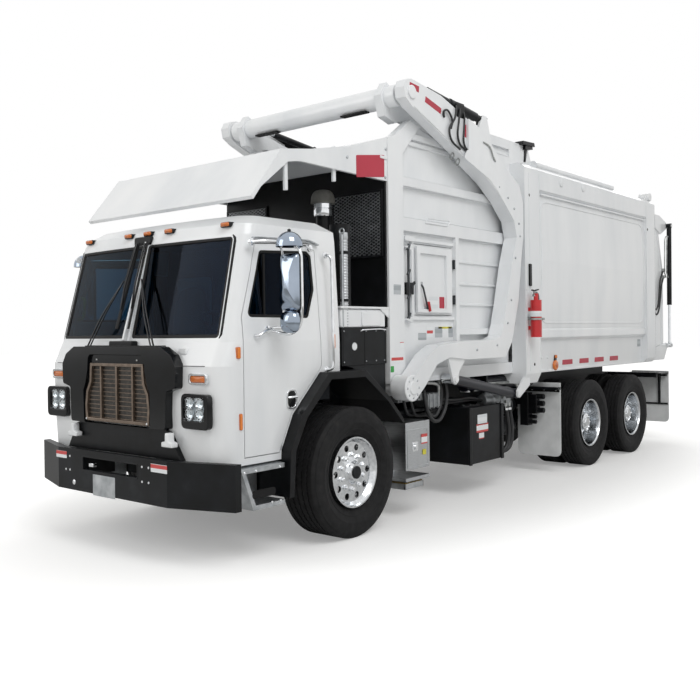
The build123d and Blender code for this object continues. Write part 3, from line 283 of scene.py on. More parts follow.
def bolts(places, facing="x", radius=0.012, height=0.009, sides=6):
    """Hexagon heads with a domed top, standing along one axis at each place."""
    sign = -1.0 if facing.startswith("-") else 1.0
    head = [(-0.004, radius), (0.65 * height, radius), (height, 0.72 * radius), (height, 0.001)]
    profile = [(sign * a, r) for a, r in head]
    return joined(*(spun(profile, place, facing[-1], sides) for place in places))


print("tubes, bars and bolts ready")


# %% The rim of a pane, read from its own mesh
def rims_of(name, facing):
    """Loops round the faces whose normal looks one way: edges with one such face, walked end to end."""
    work = bmesh.new()
    work.from_mesh(nodes[name].data)
    bmesh.ops.remove_doubles(work, verts=work.verts, dist=1e-5)
    work.normal_update()
    facing = np.asarray(facing, float)
    skin = {face.index for face in work.faces if np.dot(face.normal, facing) > 0.4}
    links = {}
    for edge in work.edges:
        if sum(face.index in skin for face in edge.link_faces) == 1:
            a, b = edge.verts
            links.setdefault(a.index, []).append(b.index)
            links.setdefault(b.index, []).append(a.index)
    work.verts.ensure_lookup_table()
    loops = []
    while links:
        start = here = min(links)
        loop = []
        while here in links:
            loop.append(here)
            onward = [v for v in links.pop(here) if v in links]
            here = onward[0] if onward else start
        loops.append(np.array([work.verts[v].co[:] for v in loop]))
    work.free()
    return [evenly(loop, 0.02) for loop in loops if len(loop) > 3]


def evenly(loop, step):
    """The same closed loop with points a step apart, by interpolating along its length."""
    ring = np.concatenate([loop, loop[:1]])
    length = np.concatenate([[0], np.cumsum(np.linalg.norm(np.diff(ring, axis=0), axis=1))])
    at = np.linspace(0, length[-1], max(int(length[-1] / step), 8), endpoint=False)
    return np.column_stack([np.interp(at, length, ring[:, k]) for k in range(3)])


# %% Put a finished shape into the scene
def put(name, shapes, material, body="root", bevel=0.0, segments=2, angle=35, replaces=()):
    """One object of the shapes: faces turned outwards, edges sharp above an angle, and its finish."""
    points, faces = joined(*shapes) if isinstance(shapes, list) else shapes
    mesh = bpy.data.meshes.new(name)
    mesh.vertices.add(len(points))
    mesh.vertices.foreach_set("co", points.ravel())
    sizes = np.concatenate([np.full(len(face), face.shape[1]) for face in faces])
    mesh.loops.add(int(sizes.sum()))
    mesh.loops.foreach_set("vertex_index", np.concatenate([face.ravel() for face in faces]))
    mesh.polygons.add(len(sizes))
    mesh.polygons.foreach_set("loop_start", np.concatenate([[0], np.cumsum(sizes)[:-1]]))
    mesh.update(calc_edges=True)
    work = bmesh.new()
    work.from_mesh(mesh)
    bmesh.ops.recalc_face_normals(work, faces=work.faces)
    work.to_mesh(mesh)
    work.free()
    mesh.polygons.foreach_set("use_smooth", np.ones(len(sizes), bool))
    mesh.set_sharp_from_angle(angle=np.radians(angle))
    mesh.materials.append(material)
    piece = bpy.data.objects.new(name, mesh)
    bpy.context.scene.collection.objects.link(piece)
    if bevel:
        edge = piece.modifiers.new("soft_edges", "BEVEL")
        edge.width, edge.segments, edge.limit_method = bevel, segments, "ANGLE"
        edge.angle_limit = np.radians(30)
    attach(piece, body)
    if replaces:
        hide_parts(*replaces)
    pieces.append(name)
    return piece


pieces = []


def made(what):
    """Says how many pieces were put into the scene since it was last asked."""
    print(what, len(pieces) - made.before)
    made.before = len(pieces)


made.before = 0
print("pieces can be put into the scene")

# %% [markdown]
# ## Materials
#
# Every finish starts from what the real one is. Colours are written as sRGB hex values, the
# way a paint chart gives them, and one function turns them to the linear light that shaders
# work in. One more function adds a node, sets its values and links it.

# %% Colour and node helpers
def linear(code, alpha=1.0):
    """An sRGB hex colour as linear RGBA: c/12.92 under 0.04045, else ((c+0.055)/1.055)^2.4."""
    c = np.array([int(code[i:i + 2], 16) / 255 for i in (1, 3, 5)])
    low = c / 12.92
    high = ((c + 0.055) / 1.055) ** 2.4
    return (*np.where(c <= 0.04045, low, high).tolist(), alpha)


def add_node(tree, kind, settings=None, values=None, links=None):
    """Adds a node, sets its attributes and sockets, and links sockets from other nodes."""
    node = tree.nodes.new(kind)
    for key, value in (settings or {}).items():
        setattr(node, key, value)
    for key, value in (values or {}).items():
        node.inputs[key].default_value = value
    for key, source in (links or {}).items():
        tree.links.new(source, node.inputs[key])
    return node


def new_material(name, colour, roughness, metallic=0.0, **sockets):
    """A named material with its shader and the object coordinates that its patterns read."""
    material = bpy.data.materials.new(name)
    material.use_nodes = True
    tree = material.node_tree
    shader = tree.nodes["Principled BSDF"]
    shader.inputs["Base Color"].default_value = linear(colour)
    shader.inputs["Roughness"].default_value = roughness
    shader.inputs["Metallic"].default_value = metallic
    for key, value in sockets.items():
        shader.inputs[key.replace("_", " ")].default_value = value
    coordinates = add_node(tree, "ShaderNodeTexCoord").outputs["Object"]
    return material, tree, shader, coordinates


print("colour and nodes ready")


# %% Patterns: noise, colour ramps, bumps and soft edges
def mottle(tree, coordinates, scale, detail=3.0):
    """Soft noise between 0 and 1, with scale as patches to the metre."""
    noise = add_node(tree, "ShaderNodeTexNoise", values={"Scale": scale, "Detail": detail},
                     links={"Vector": coordinates})
    return noise.outputs["Fac"]


def between(tree, factor, stops):
    """A colour ramp: stops are (place, hex) pairs along the factor."""
    ramp = add_node(tree, "ShaderNodeValToRGB", links={"Fac": factor})
    ramp.color_ramp.elements[0].position = stops[0][0]
    ramp.color_ramp.elements[0].color = linear(stops[0][1])
    ramp.color_ramp.elements[1].position = stops[-1][0]
    ramp.color_ramp.elements[1].color = linear(stops[-1][1])
    for place, code in stops[1:-1]:
        ramp.color_ramp.elements.new(place).color = linear(code)
    return ramp.outputs["Color"]


def bumped(tree, height, distance, strength, normal=None):
    """A bump of a real depth in metres, on top of another normal if one is given."""
    links = {"Height": height}
    if normal:
        links["Normal"] = normal
    return add_node(tree, "ShaderNodeBump", values={"Distance": distance, "Strength": strength},
                    links=links).outputs["Normal"]


def soft_edges(tree, radius):
    """A normal that rounds edges over a real radius, as paint and pressing do."""
    return add_node(tree, "ShaderNodeBevel", {"samples": 4}, {"Radius": radius}).outputs["Normal"]


print("patterns ready")


# %% A whole finish in one call
def finish(name, colour, roughness, metallic=0.0, tones=None, skin=None, edge=None, stretch=None,
           **sockets):
    """A finish of optional parts: tones (scale, detail, stops), a skin (scale, detail, depth, strength),
    the radius of its soft edges, and a stretch of its patterns along x, y and z."""
    material, tree, shader, place = new_material(name, colour, roughness, metallic, **sockets)
    if stretch:
        place = add_node(tree, "ShaderNodeMapping", values={"Scale": stretch},
                         links={"Vector": place}).outputs["Vector"]
    if tones:
        scale, detail, stops = tones
        tree.links.new(between(tree, mottle(tree, place, scale, detail), stops),
                       shader.inputs["Base Color"])
    if skin:
        scale, detail, depth, strength = skin
        rounding = soft_edges(tree, edge) if edge else None
        tree.links.new(bumped(tree, mottle(tree, place, scale, detail), depth, strength, rounding),
                       shader.inputs["Normal"])
    return material


print("finishes can be made")

# %% [markdown]
# ## White paint
#
# Refuse bodies are sprayed with gloss polyurethane over welded steel. The paint's skin has a
# faint orange peel, a few millimetres from crest to crest, and weather leaves soft grey
# where water runs. A plain white would look like plastic, so both are mixed in lightly.

# %% White urethane paint
white_paint, tree, shader, place = new_material("white_urethane_paint", "#f1f1ee", 0.28, Coat_Weight=0.35,
                                                Coat_Roughness=0.08)
stretched = add_node(tree, "ShaderNodeMapping", values={"Scale": (1.0, 1.0, 0.25)},
                     links={"Vector": place}).outputs["Vector"]
weather = mottle(tree, stretched, 2.2, 5.0)
tree.links.new(between(tree, weather, [(0.3, "#e3e6e9"), (0.55, "#eef0f2"), (0.8, "#f4f5f6")]),
               shader.inputs["Base Color"])
peel = mottle(tree, place, 160.0, 1.0)
tree.links.new(bumped(tree, peel, 0.0006, 0.12, soft_edges(tree, 0.006)), shader.inputs["Normal"])
print("paint", white_paint.name)

# %% [markdown]
# ## Black finishes
#
# The chassis is brushed with satin enamel, which dulls and picks up road dust. The fenders
# and the grille surround are moulded plastic with a finer skin, glossier than the chassis.

# %% Chassis enamel and moulded plastic
black_enamel = finish("satin_chassis_enamel", "#121315", 0.42, skin=(240.0, 2.0, 0.0005, 0.2), edge=0.005,
                      tones=(5.0, 6.0, [(0.35, "#0c0d0e"), (0.6, "#15171a"), (0.85, "#26282b")]),
                      Specular_IOR_Level=0.22)
black_moulding = finish("moulded_polypropylene", "#0d0e10", 0.32, skin=(420.0, 2.0, 0.0004, 0.25),
                        edge=0.008, tones=(9.0, 4.0, [(0.3, "#0a0b0c"), (0.75, "#17181b")]),
                        Specular_IOR_Level=0.22)
gloss_black = finish("gloss_black_enamel", "#0b0c0e", 0.14, Specular_IOR_Level=0.35,
                     tones=(6.0, 3.0, [(0.3, "#08090a"), (0.8, "#14161a")]))
dark_lining = finish("dark_vinyl_lining", "#15191d", 0.7, skin=(220.0, 2.0, 0.0006, 0.3),
                     Specular_IOR_Level=0.2)
print("black finishes", 4)

# %% [markdown]
# ## Rubber
#
# Tyre rubber is carbon black with a dry, slightly brown bloom. It is rough, so it takes
# hardly any reflection, and its fine grain is a bump of half a millimetre.

# %% Tyre rubber, seal rubber and flap rubber
tyre_rubber = finish("tyre_rubber", "#1b1b1c", 0.78, skin=(300.0, 3.0, 0.0006, 0.35),
                     Specular_IOR_Level=0.25, tones=(14.0, 6.0,
                                                     [(0.3, "#141415"), (0.6, "#1f1f20"),
                                                      (0.85, "#2d2b29")]))
seal_rubber = finish("extruded_rubber_seal", "#0b0b0c", 0.55, skin=(350.0, 2.0, 0.0004, 0.3),
                     Specular_IOR_Level=0.25)
flap_rubber = finish("white_flap_rubber", "#eceeef", 0.6, skin=(120.0, 2.0, 0.0006, 0.3),
                     tones=(4.0, 6.0, [(0.3, "#cfd1d2"), (0.6, "#e6e8e9")]))
print("rubbers", 3)

# %% [markdown]
# ## Bright metals
#
# Forged wheels are polished, the steps are mill-finish aluminium and the tool box is brushed
# stainless. Brushing is a noise stretched along one way. The metals keep the shader's own
# index of refraction, because their colour already says how they reflect.

# %% Polished aluminium, brushed stainless, chrome, bronze
polished_aluminium = finish("polished_aluminium", "#d9dbdd", 0.16, 1.0, skin=(90.0, 3.0, 0.0006, 0.12),
                            tones=(30.0, 4.0, [(0.3, "#c3c6c9"), (0.7, "#e2e4e6")]))
mill_aluminium = finish("mill_finish_aluminium", "#b9bcbf", 0.42, 1.0, skin=(260.0, 2.0, 0.0005, 0.2),
                        edge=0.004, tones=(12.0, 5.0, [(0.3, "#9fa3a6"), (0.7, "#c6c9cb")]))
brushed_stainless = finish("brushed_stainless", "#c4c6c8", 0.3, 1.0, skin=(12.0, 3.0, 0.0004, 0.2),
                           edge=0.004, stretch=(1.0, 2.0, 90.0),
                           tones=(8.0, 4.0, [(0.3, "#a9acaf"), (0.7, "#cfd1d3")]))
chrome = finish("chrome_plate", "#e6e8ea", 0.06, 1.0,
                tones=(20.0, 2.0, [(0.3, "#dfe1e3"), (0.7, "#eceef0")]))
bronze_mesh = finish("bronze_anodised_mesh", "#35322f", 0.45, 0.5,
                     tones=(30.0, 3.0, [(0.3, "#2a2826"), (0.7, "#45413c")]))
bronze_frame = finish("bronze_anodised_frame", "#7a6c60", 0.34, 0.8,
                      tones=(18.0, 3.0, [(0.3, "#6a5d52"), (0.7, "#85776b")]))
print("metals", 6)

# %% [markdown]
# ## Glass and lenses
#
# The cab's panes are blue-grey tinted laminate. Real glass is clear with two reflecting faces, so
# the shader transmits and the dark comes from its tint and the cab behind it. The blue specular
# tint is a painted sky reflection.

# %% Tinted glass and lamp lenses
# The blue Specular Tint is a painted sky reflection; the base colour is the laminate's own tint.
tinted_glass_with_painted_sky = finish("tinted_laminate", "#2f587c", 0.02, Transmission_Weight=1.0, IOR=1.22,
                      Specular_Tint=linear("#3a6cae"), tones=(1.5, 1.0,
                                                              [(0.3, "#3a5d72"), (0.7, "#456a7d")]))
# Rear windows: an opaque pale teal that paints the daylight seen through them.
painted_daylight_pane = finish("rear_window_painted_daylight", "#6d9297", 0.12,
                       tones=(2.0, 2.0, [(0.3, "#628a90"), (0.7, "#7b9fa3")]))
clear_cover = finish("clear_polycarbonate_cover", "#f2f6f8", 0.04, Transmission_Weight=1.0, IOR=1.3,
                     tones=(3.0, 1.0, [(0.3, "#eef3f5"), (0.7, "#f8fbfc")]))


def lens(name, colour, dark):
    """A moulded acrylic lens, with ribs a few millimetres apart that scatter the lamp."""
    material, tree, shader, place = new_material(name, colour, 0.18, IOR=1.49, Coat_Weight=0.5)
    ribs = add_node(tree, "ShaderNodeTexWave", {"bands_direction": "X"}, {"Scale": 60.0}, {"Vector": place})
    tree.links.new(between(tree, ribs.outputs["Fac"], [(0.2, dark), (0.8, colour)]),
                   shader.inputs["Base Color"])
    tree.links.new(bumped(tree, ribs.outputs["Fac"], 0.001, 0.3), shader.inputs["Normal"])
    return material


amber_lens = lens("amber_acrylic_lens", "#e8822a", "#b4541a")
red_lens = lens("red_acrylic_lens", "#c8141c", "#8a0c12")
print("panes and lenses", 5)

# %% [markdown]
# ## Coats, labels and fittings
#
# Small parts are told apart by their finish: powder coat, printed vinyl, oiled steel, zinc.
# The labels stay plain, in one or two colours. Handled parts drift a little between two
# tones, so no two bolts look the same.

# %% Powder coats, plain labels, worn fittings and seat cloth
red_coat = finish("red_powder_coat", "#c8161c", 0.3, Coat_Weight=0.4,
                  tones=(9.0, 3.0, [(0.3, "#b81218"), (0.7, "#d01a20")]))
yellow_coat = finish("yellow_handrail_coat", "#d8cf3a", 0.4,
                     tones=(20.0, 3.0, [(0.3, "#c8bf30"), (0.7, "#e2da48")]))


def sticker(name, colour, lower, share):
    """A plain vinyl label of two colours, split at a share of every 40 mm of height."""
    material, tree, shader, place = new_material(name, colour, 0.35)
    bands = add_node(tree, "ShaderNodeTexWave", {"bands_direction": "Z", "wave_profile": "SAW"},
                     {"Scale": 12.5 / np.pi}, {"Vector": place})
    tree.links.new(between(tree, bands.outputs["Fac"], [(share, lower), (share + 0.02, colour)]),
                   shader.inputs["Base Color"])
    return material


white_label = sticker("plain_white_label", "#eceff1", "#dfe3e6", 0.5)
red_white_label = sticker("plain_two_colour_label", "#eceff1", "#cf4a48", 0.35)
grey_label = sticker("plain_grey_label", "#b9bec2", "#a4aaae", 0.5)


def aged(name, colour, worn, roughness, metallic=0.0, scale=14.0):
    """A finish whose colour drifts a little between two tones, as handled or weathered parts do."""
    return finish(name, colour, roughness, metallic, tones=(scale, 4.0, [(0.35, colour), (0.7, worn)]))


plain_red = aged("plain_red_sign_vinyl", "#b81f3a", "#ad1a34", 0.3, scale=3.0)
green_label = aged("plain_green_label", "#2f9e44", "#2b9140", 0.4)
dark_steel = aged("oiled_dark_steel", "#4a4d50", "#3a3c3f", 0.4, 0.8)
mesh_steel = aged("galvanised_mesh", "#a9acae", "#84878a", 0.45, 0.7)
grey_plastic = aged("weathered_grey_plastic", "#7d7c77", "#6c6b66", 0.55)
hydraulic_hose = aged("braided_hydraulic_hose", "#17181a", "#232426", 0.5, scale=60.0)
# Black enamel for the hydraulic barrels, whose blue tint is a painted sky reflection.
black_enamel_painted_sky = aged("black_enamel_painted_sky_tint", "#0b0c1a", "#090a15", 0.35)
zinc_fitting = aged("zinc_plated_fitting", "#b4b6b4", "#8c8f8e", 0.32, 1.0)
cast_pump = aged("cast_aluminium_pump", "#9b9ea0", "#7e8183", 0.5, 0.8)
# The mirror chrome's blue-grey is a painted sky reflection; its two tones drift at random.
mirror_chrome_painted_sky = aged("mirror_chrome_painted_sky_tint", "#a9b4c2", "#8d97a4", 0.1, 1.0, 3.0)
tread_steel = aged("worn_step_tread", "#a08a4e", "#6e6145", 0.55, 0.6, 30.0)

seat_cloth, tree, shader, place = new_material("woven_seat_cloth", "#2a2c30", 0.9, Sheen_Weight=0.3)
weave = add_node(tree, "ShaderNodeTexWave", {"bands_direction": "Z"}, {"Scale": 90.0, "Distortion": 1.0},
                 {"Vector": place})
tree.links.new(between(tree, weave.outputs["Fac"], [(0.3, "#1f2124"), (0.7, "#34373c")]),
               shader.inputs["Base Color"])
tree.links.new(bumped(tree, weave.outputs["Fac"], 0.001, 0.4), shader.inputs["Normal"])

# %% [markdown]
# ## Finishes on the frame
#
# Panels whose shape is right stay as they are. They only need their finish, given to each
# node by name.

# %% Give every carried-over node its finish
finishes = {
    white_paint: ["cab_shell", "cab_door_left", "cab_door_right", "canopy", "hopper", "hopper_door",
                  "lift_arms", "forks", "load_body", "tailgate", "packer_blade"],
    black_enamel: ["axles", "bumper", "chassis_frame", "side_cabinets", "springs", "subframe", "tanks",
                   "knuckle_left", "knuckle_right", "drive_line", "fork_barrels", "tail_barrels",
                   "exhaust_stack"],
    black_enamel_painted_sky: ["lift_barrels"],
    black_moulding: ["fenders", "grille_surround", "dashboard", "air_intake"],
    tyre_rubber: [n for n in nodes if n.startswith("tyre")],
    polished_aluminium: [n for n in nodes if n.startswith("wheel")],
    mill_aluminium: ["access_steps"],
    brushed_stainless: ["tool_box"],
    chrome: ["lift_rods", "fork_rods", "tail_rods", "mirror_left", "mirror_right"],
    tinted_glass_with_painted_sky: ["windscreen", "door_glass_left", "door_glass_right"],
    bronze_mesh: ["grille"],
    amber_lens: ["lamps"],
    red_coat: ["extinguisher"],
    seat_cloth: ["seats"],
    flap_rubber: ["mud_flaps"],
}
for material, names in finishes.items():
    for name in names:
        for material_slot in nodes[name].material_slots:
            material_slot.material = material
print("finishes", len(finishes))

# %% [markdown]
# ## Tyres
#
# A truck tyre is a ring with a flat tread, a round shoulder and a bulged side wall. The
# section runs from one bead round to the other, and each groove is four of its columns
# pulled down by the tread's depth. Moving the tread's columns sideways with a zigzag gives
# the wavy ribs that squeeze water out. The raised rings on the side wall are part of the
# section too, so the tyre reads well from the side and from behind.

# %% A tyre as a function of the angle and the section
def tyre(centre_x, axle_y, radius, width, grooves, waves, sides):
    """P(u, v): the section (a, r) at v turned by u; grooved columns sink, and a += zigzag(waves * u)."""
    half, bead = width / 2, 0.29
    depth, slot_half = 0.012, 0.0055
    tread_half = 0.8 * half
    edge = np.array([(bead + 0.0, 0.6), (bead + 0.012, 0.7), (bead + 0.018, 0.74), (bead + 0.024, 0.74),
                     (bead + 0.06, 0.87), (bead + 0.064, 0.885), (bead + 0.068, 0.875),
                     (bead + 0.115, 0.965), (bead + 0.119, 0.975), (bead + 0.123, 0.97),
                     (radius - 0.1, 0.985), (radius - 0.06, 0.965), (radius - 0.032, 0.93),
                     (radius - 0.03, 0.905), (radius - 0.014, 0.87), (radius - 0.004, 0.83)])
    lines = np.array(grooves) * tread_half
    across = np.sort(np.concatenate([lines - slot_half - 0.002, lines - slot_half, lines + slot_half,
                                     lines + slot_half + 0.002]))
    sunk = (np.abs(across[:, None] - lines[None]).min(1) < slot_half + 0.001)
    tread_a = np.concatenate([[-tread_half], across, [tread_half]])
    tread_r = np.concatenate([[radius], np.where(sunk, radius - depth, radius), [radius]])
    on_tread = np.ones(len(tread_a))
    on_tread[[0, -1]] = 0
    a = np.concatenate([-edge[:, 1] * half, tread_a, edge[::-1, 1] * half])
    r = np.concatenate([edge[:, 0], tread_r, edge[::-1, 0]])
    sway = np.concatenate([np.zeros(len(edge)), on_tread, np.zeros(len(edge))])
    u = np.linspace(0, 2 * np.pi, sides, endpoint=False)[:, None]
    zigzag = 0.004 * (2 / np.pi) * np.arcsin(np.sin(waves * u))
    a = a[None] + sway[None] * zigzag
    r = r[None] + 0 * u
    points = np.stack([centre_x + a, along(axle_y) + r * np.cos(u), radius + r * np.sin(u)], -1)
    return grid(points, wrap_rows=True, wrap_columns=True, caps=False)


front_low, front_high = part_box("tyre_front_left")
FRONT_RADIUS = (front_high.z - front_low.z) / 2
FRONT_TYRE_X = (front_low.x + front_high.x) / 2
FRONT_WIDTH = 0.385
front_tyre = tyre(FRONT_TYRE_X, 0, FRONT_RADIUS, FRONT_WIDTH, (-0.72, -0.36, 0, 0.36, 0.72), 80, 320)
put("front_tyre_left", front_tyre, tyre_rubber, "wheel_front_left", angle=28, replaces=("tyre_front_left",))
put("front_tyre_right", flipped(front_tyre), tyre_rubber, "wheel_front_right", angle=28,
    replaces=("tyre_front_right",))
made("front tyre")

# %% The twin tyres of the driven axles
REAR_AXLES = (4.639, 5.991)
REAR_RADIUS = 0.526
REAR_WIDTH = 0.279
TWIN_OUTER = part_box("tyres_rear1_left")[1].x - REAR_WIDTH / 2 - 0.001
TWIN_INNER = TWIN_OUTER - 0.335
for number, axle in enumerate(REAR_AXLES, start=1):
    twins = joined(*(tyre(x, axle, REAR_RADIUS, REAR_WIDTH, (-0.6, -0.2, 0.2, 0.6), 60, 240)
                     for x in (TWIN_OUTER, TWIN_INNER)))
    for side, shape in (("left", twins), ("right", flipped(twins))):
        put(f"rear{number}_tyres_{side}", shape, tyre_rubber, f"wheel_rear{number}_{side}", angle=28,
            replaces=(f"tyres_rear{number}_{side}",))
made("rear tyres")

# %% [markdown]
# ## Wheels
#
# The forged discs stay as they were cut, with their ten hand holes. What is missing is what
# holds them: ten flanged nuts on their studs, and the hub that comes through the middle, flat
# on the steered wheels and long on the driven ones.

# %% Wheel nuts and hubs
NUT_CIRCLE = 0.143
NUTS = 10


def nut_ring(face_x, axle_y, radius):
    """Ten nuts on a circle: place k is the centre turned by k / 10 of a turn."""
    t = np.arange(NUTS) * 2 * np.pi / NUTS + np.pi / NUTS
    places = np.column_stack([np.full(NUTS, face_x), axle_y + NUT_CIRCLE * np.cos(t),
                              radius + NUT_CIRCLE * np.sin(t)])
    flange = [(-0.004, 0.024), (0.005, 0.024), (0.007, 0.019)]
    body = [(0.007, 0.0175), (0.026, 0.0175), (0.031, 0.012), (0.031, 0.001)]
    return joined(*(joined(spun(flange + [(0.0071, 0.001)], p, "x", 16), spun(body, p, "x", 6))
                    for p in places))


def hub(face_x, axle_y, radius, profile, stud_circle, stud_x):
    """A turned hub, with eight flange bolts on a circle of its own."""
    t = np.arange(8) * np.pi / 4
    places = np.column_stack([np.full(8, face_x + stud_x), axle_y + stud_circle * np.cos(t),
                              radius + stud_circle * np.sin(t)])
    turned_part = spun(profile, (face_x, axle_y, radius), "x", 48)
    return turned_part, bolts(places, "x", 0.01, 0.01)


front_disc_x = 1.154
front_hub = [(-0.01, 0.098), (0.012, 0.098), (0.02, 0.088), (0.042, 0.074), (0.046, 0.07), (0.046, 0.001)]
front_cap = [(0.04, 0.052), (0.058, 0.052), (0.063, 0.046), (0.063, 0.001)]
for side, mirror in SIDES:
    turned_part, flange_bolts = hub(front_disc_x, 0, FRONT_RADIUS, front_hub, 0.08, 0.026)
    body = f"wheel_front_{side}"
    put(f"front_nuts_{side}", mirror(nut_ring(front_disc_x, 0, FRONT_RADIUS)), chrome, body)
    put(f"front_hub_{side}", mirror(joined(turned_part, flange_bolts)), polished_aluminium, body)
    put(f"front_hub_cap_{side}", mirror(spun(front_cap, (front_disc_x, 0, FRONT_RADIUS), "x", 40)),
        black_enamel, body)
rear_disc_x = 1.004
rear_hub = [(-0.01, 0.1), (0.02, 0.1), (0.024, 0.094), (0.11, 0.088), (0.118, 0.108), (0.13, 0.108),
            (0.134, 0.1), (0.138, 0.06), (0.15, 0.05), (0.15, 0.001)]
for number, axle in enumerate(REAR_AXLES, start=1):
    for side, mirror in SIDES:
        body = f"wheel_rear{number}_{side}"
        turned_part, flange_bolts = hub(rear_disc_x, axle, REAR_RADIUS, rear_hub, 0.088, 0.134)
        put(f"rear{number}_nuts_{side}", mirror(nut_ring(rear_disc_x, axle, REAR_RADIUS)), chrome, body)
        put(f"rear{number}_hub_{side}", mirror(joined(turned_part, flange_bolts)), polished_aluminium, body)
made("wheel fittings")

# %% [markdown]
# ## Grille
#
# The grille is the face of the truck: a bronze frame round four panels of woven mesh, split
# by upright bars and cradled in a glossy black surround. The surround is one outline with a
# second one cut out of it, so it is drawn as two rings joined by quads, and its front edge is
# rolled by a bevel. The mesh is wire so fine that it reads as one dark tone, so it is a
# mottled finish on a thin panel, while each bar that the eye can follow is real.

# %% Panels of mesh between bars
GRILLE_Y = -1.458
mesh_outline = np.array([(-0.405, 1.0), (0.405, 1.0), (0.415, 1.12), (0.398, 1.235), (0.352, 1.315),
                         (0.34, 1.462), (-0.34, 1.462), (-0.352, 1.315), (-0.398, 1.235), (-0.415, 1.12)])


def front_plate(outline, y_low, y_high):
    """An (x, z) outline carried along y, whose places are measured from the front axle."""
    return prism(outline, along(y_low), along(y_high), "y")


def band(outer, inner, low, high, across):
    """The band between two outlines with as many points, carried along one axis as a prism is."""
    outer, inner = np.asarray(outer, float), np.asarray(inner, float)
    order = {"x": [2, 0, 1], "y": [0, 2, 1], "z": [0, 1, 2]}[across]
    rows = [(outer, low), (outer, high), (inner, high), (inner, low)]
    rings = np.stack([np.column_stack([flat, np.full(len(flat), level)]) for flat, level in rows])
    return grid(rings[..., order], wrap_rows=True)


def ring_plate(outer, inner, y_low, y_high):
    """A band on the cab's face, between two places measured from the front axle."""
    return band(outer, inner, along(y_low), along(y_high), "y")


def side_ring(outer, inner, x_low, x_high):
    """A band on the truck's side, whose outlines are (y from the front axle, z)."""
    shift = np.array([FRONT_AXLE, 0])
    return band(np.asarray(outer, float) + shift, np.asarray(inner, float) + shift, x_low, x_high, "x")


def shrunk(outline, by):
    """An outline drawn in by a distance, by moving each point along the mean of its edges' normals."""
    p = np.asarray(outline, float)
    before, after = p - np.roll(p, 1, 0), np.roll(p, -1, 0) - p
    normals = [np.column_stack([-v[:, 1], v[:, 0]]) / np.linalg.norm(v, axis=1, keepdims=True)
               for v in (before, after)]
    mean = normals[0] + normals[1]
    mean /= (mean * normals[0]).sum(1, keepdims=True)
    return p + mean * by


print("mesh outline", len(mesh_outline), "points")

# %% The grille's panel, frame, uprights and slats
mesh_panel = front_plate(shrunk(mesh_outline, 0.01), GRILLE_Y + 0.012, GRILLE_Y + 0.03)
grille_frame = ring_plate(mesh_outline, shrunk(mesh_outline, 0.024), GRILLE_Y - 0.014, GRILLE_Y + 0.034)
bar_x = (-0.204, 0.0, 0.204)
upright = [block((x - 0.009, x + 0.009), (GRILLE_Y - 0.012, GRILLE_Y + 0.02), (1.002, 1.46)) for x in bar_x]
rows_z = np.linspace(1.03, 1.44, 13)
half_at = np.interp(rows_z, mesh_outline[1:6, 1], mesh_outline[1:6, 0]) - 0.016
slats = [block((-w, w), (GRILLE_Y + 0.004, GRILLE_Y + 0.013), (z - 0.003, z + 0.003))
         for z, w in zip(rows_z, half_at)]
put("grille_mesh", mesh_panel, bronze_mesh, replaces=("grille",))
put("grille_frame", [grille_frame, *upright], bronze_frame, bevel=0.003)
put("grille_slats", slats, bronze_frame)
made("grille panels")

# %% [markdown]
# ## Lamps
#
# Each head lamp is a bezel with two round bulbs behind one moulded lens, and the amber signal
# sits above it. A lamp looks deep because its lens is domed and its rim stands proud, so both
# are drawn: the rim as a rounded ring, the lens as a dome over a rounded rectangle. The
# lens keeps the amber of the reflectors in the photograph.

# %% Domed lenses and rims on the cab's face
def dome(outline, y_face, rise, rings=5):
    """Rings of an outline shrinking to its middle while y follows a quarter of a circle."""
    p = np.asarray(outline, float)
    middle = p.mean(0)
    t = np.linspace(0, 1, rings + 1)[:, None, None]
    xz = middle + (p - middle)[None] * np.cos(t * np.pi / 2 * 0.97)
    y = np.broadcast_to(along(y_face) - rise * np.sin(t * np.pi / 2), xz.shape[:2] + (1,))
    base = np.stack([np.column_stack([p[:, 0], np.full(len(p), along(y_face) + 0.012), p[:, 1]])])
    front = np.concatenate([xz[..., :1], y, xz[..., 1:]], -1)
    return grid(np.concatenate([base, front]))


def lamp_pair(name, x, z, width, height, corner, y, rise, rim, lens, proud=0.014):
    """A rim and a domed lens on both sides of the face."""
    outline = rectangle((x, z), width, height, corner)
    inner = rectangle((x, z), width - 0.03, height - 0.03, corner * 0.8)
    put(f"{name}_rims", both(ring_plate(outline, inner, y - proud, y + 0.014)), rim,
        bevel=0.003)
    put(f"{name}_lenses", both(dome(inner, y, rise)), lens)


# %% Head lamps: a black bezel whose outer lower corner is cut, and four bulbs behind one lens
HEAD_Y = -1.398
bezel_half = rectangle((0.884, 1.1285), 0.292, 0.253, 0.045)
glazed_half = rectangle((0.872, 1.146), 0.225, 0.165, 0.03)
put("head_lamp_bezels", both(ring_plate(bezel_half, glazed_half, HEAD_Y - 0.04, HEAD_Y + 0.01)),
    gloss_black, bevel=0.007, replaces=("lamps",))
put("head_lamp_housings", both(front_plate(glazed_half, HEAD_Y - 0.006, HEAD_Y + 0.004)), mill_aluminium)
bulb = [(-0.001, 0.001), (0.004, 0.02), (0.018, 0.036), (0.022, 0.04), (0.022, 0.043), (-0.002, 0.043)]
bulbs = [spun([(-a, r) for a, r in bulb], (0.872 + u, HEAD_Y - 0.004, 1.146 + v), "y", 20)
         for u in (-0.054, 0.054) for v in (-0.036, 0.04)]
put("head_lamp_bulbs", both(*bulbs), chrome)
put("head_lamp_lenses", both(dome(glazed_half, HEAD_Y - 0.03, 0.006)), clear_cover)
lamp_pair("signal_lamp", 0.89, 1.36, 0.19, 0.078, 0.02, HEAD_Y, 0.016, chrome, amber_lens)
MARKER_Z, MARKER_Y = 2.492, -1.076
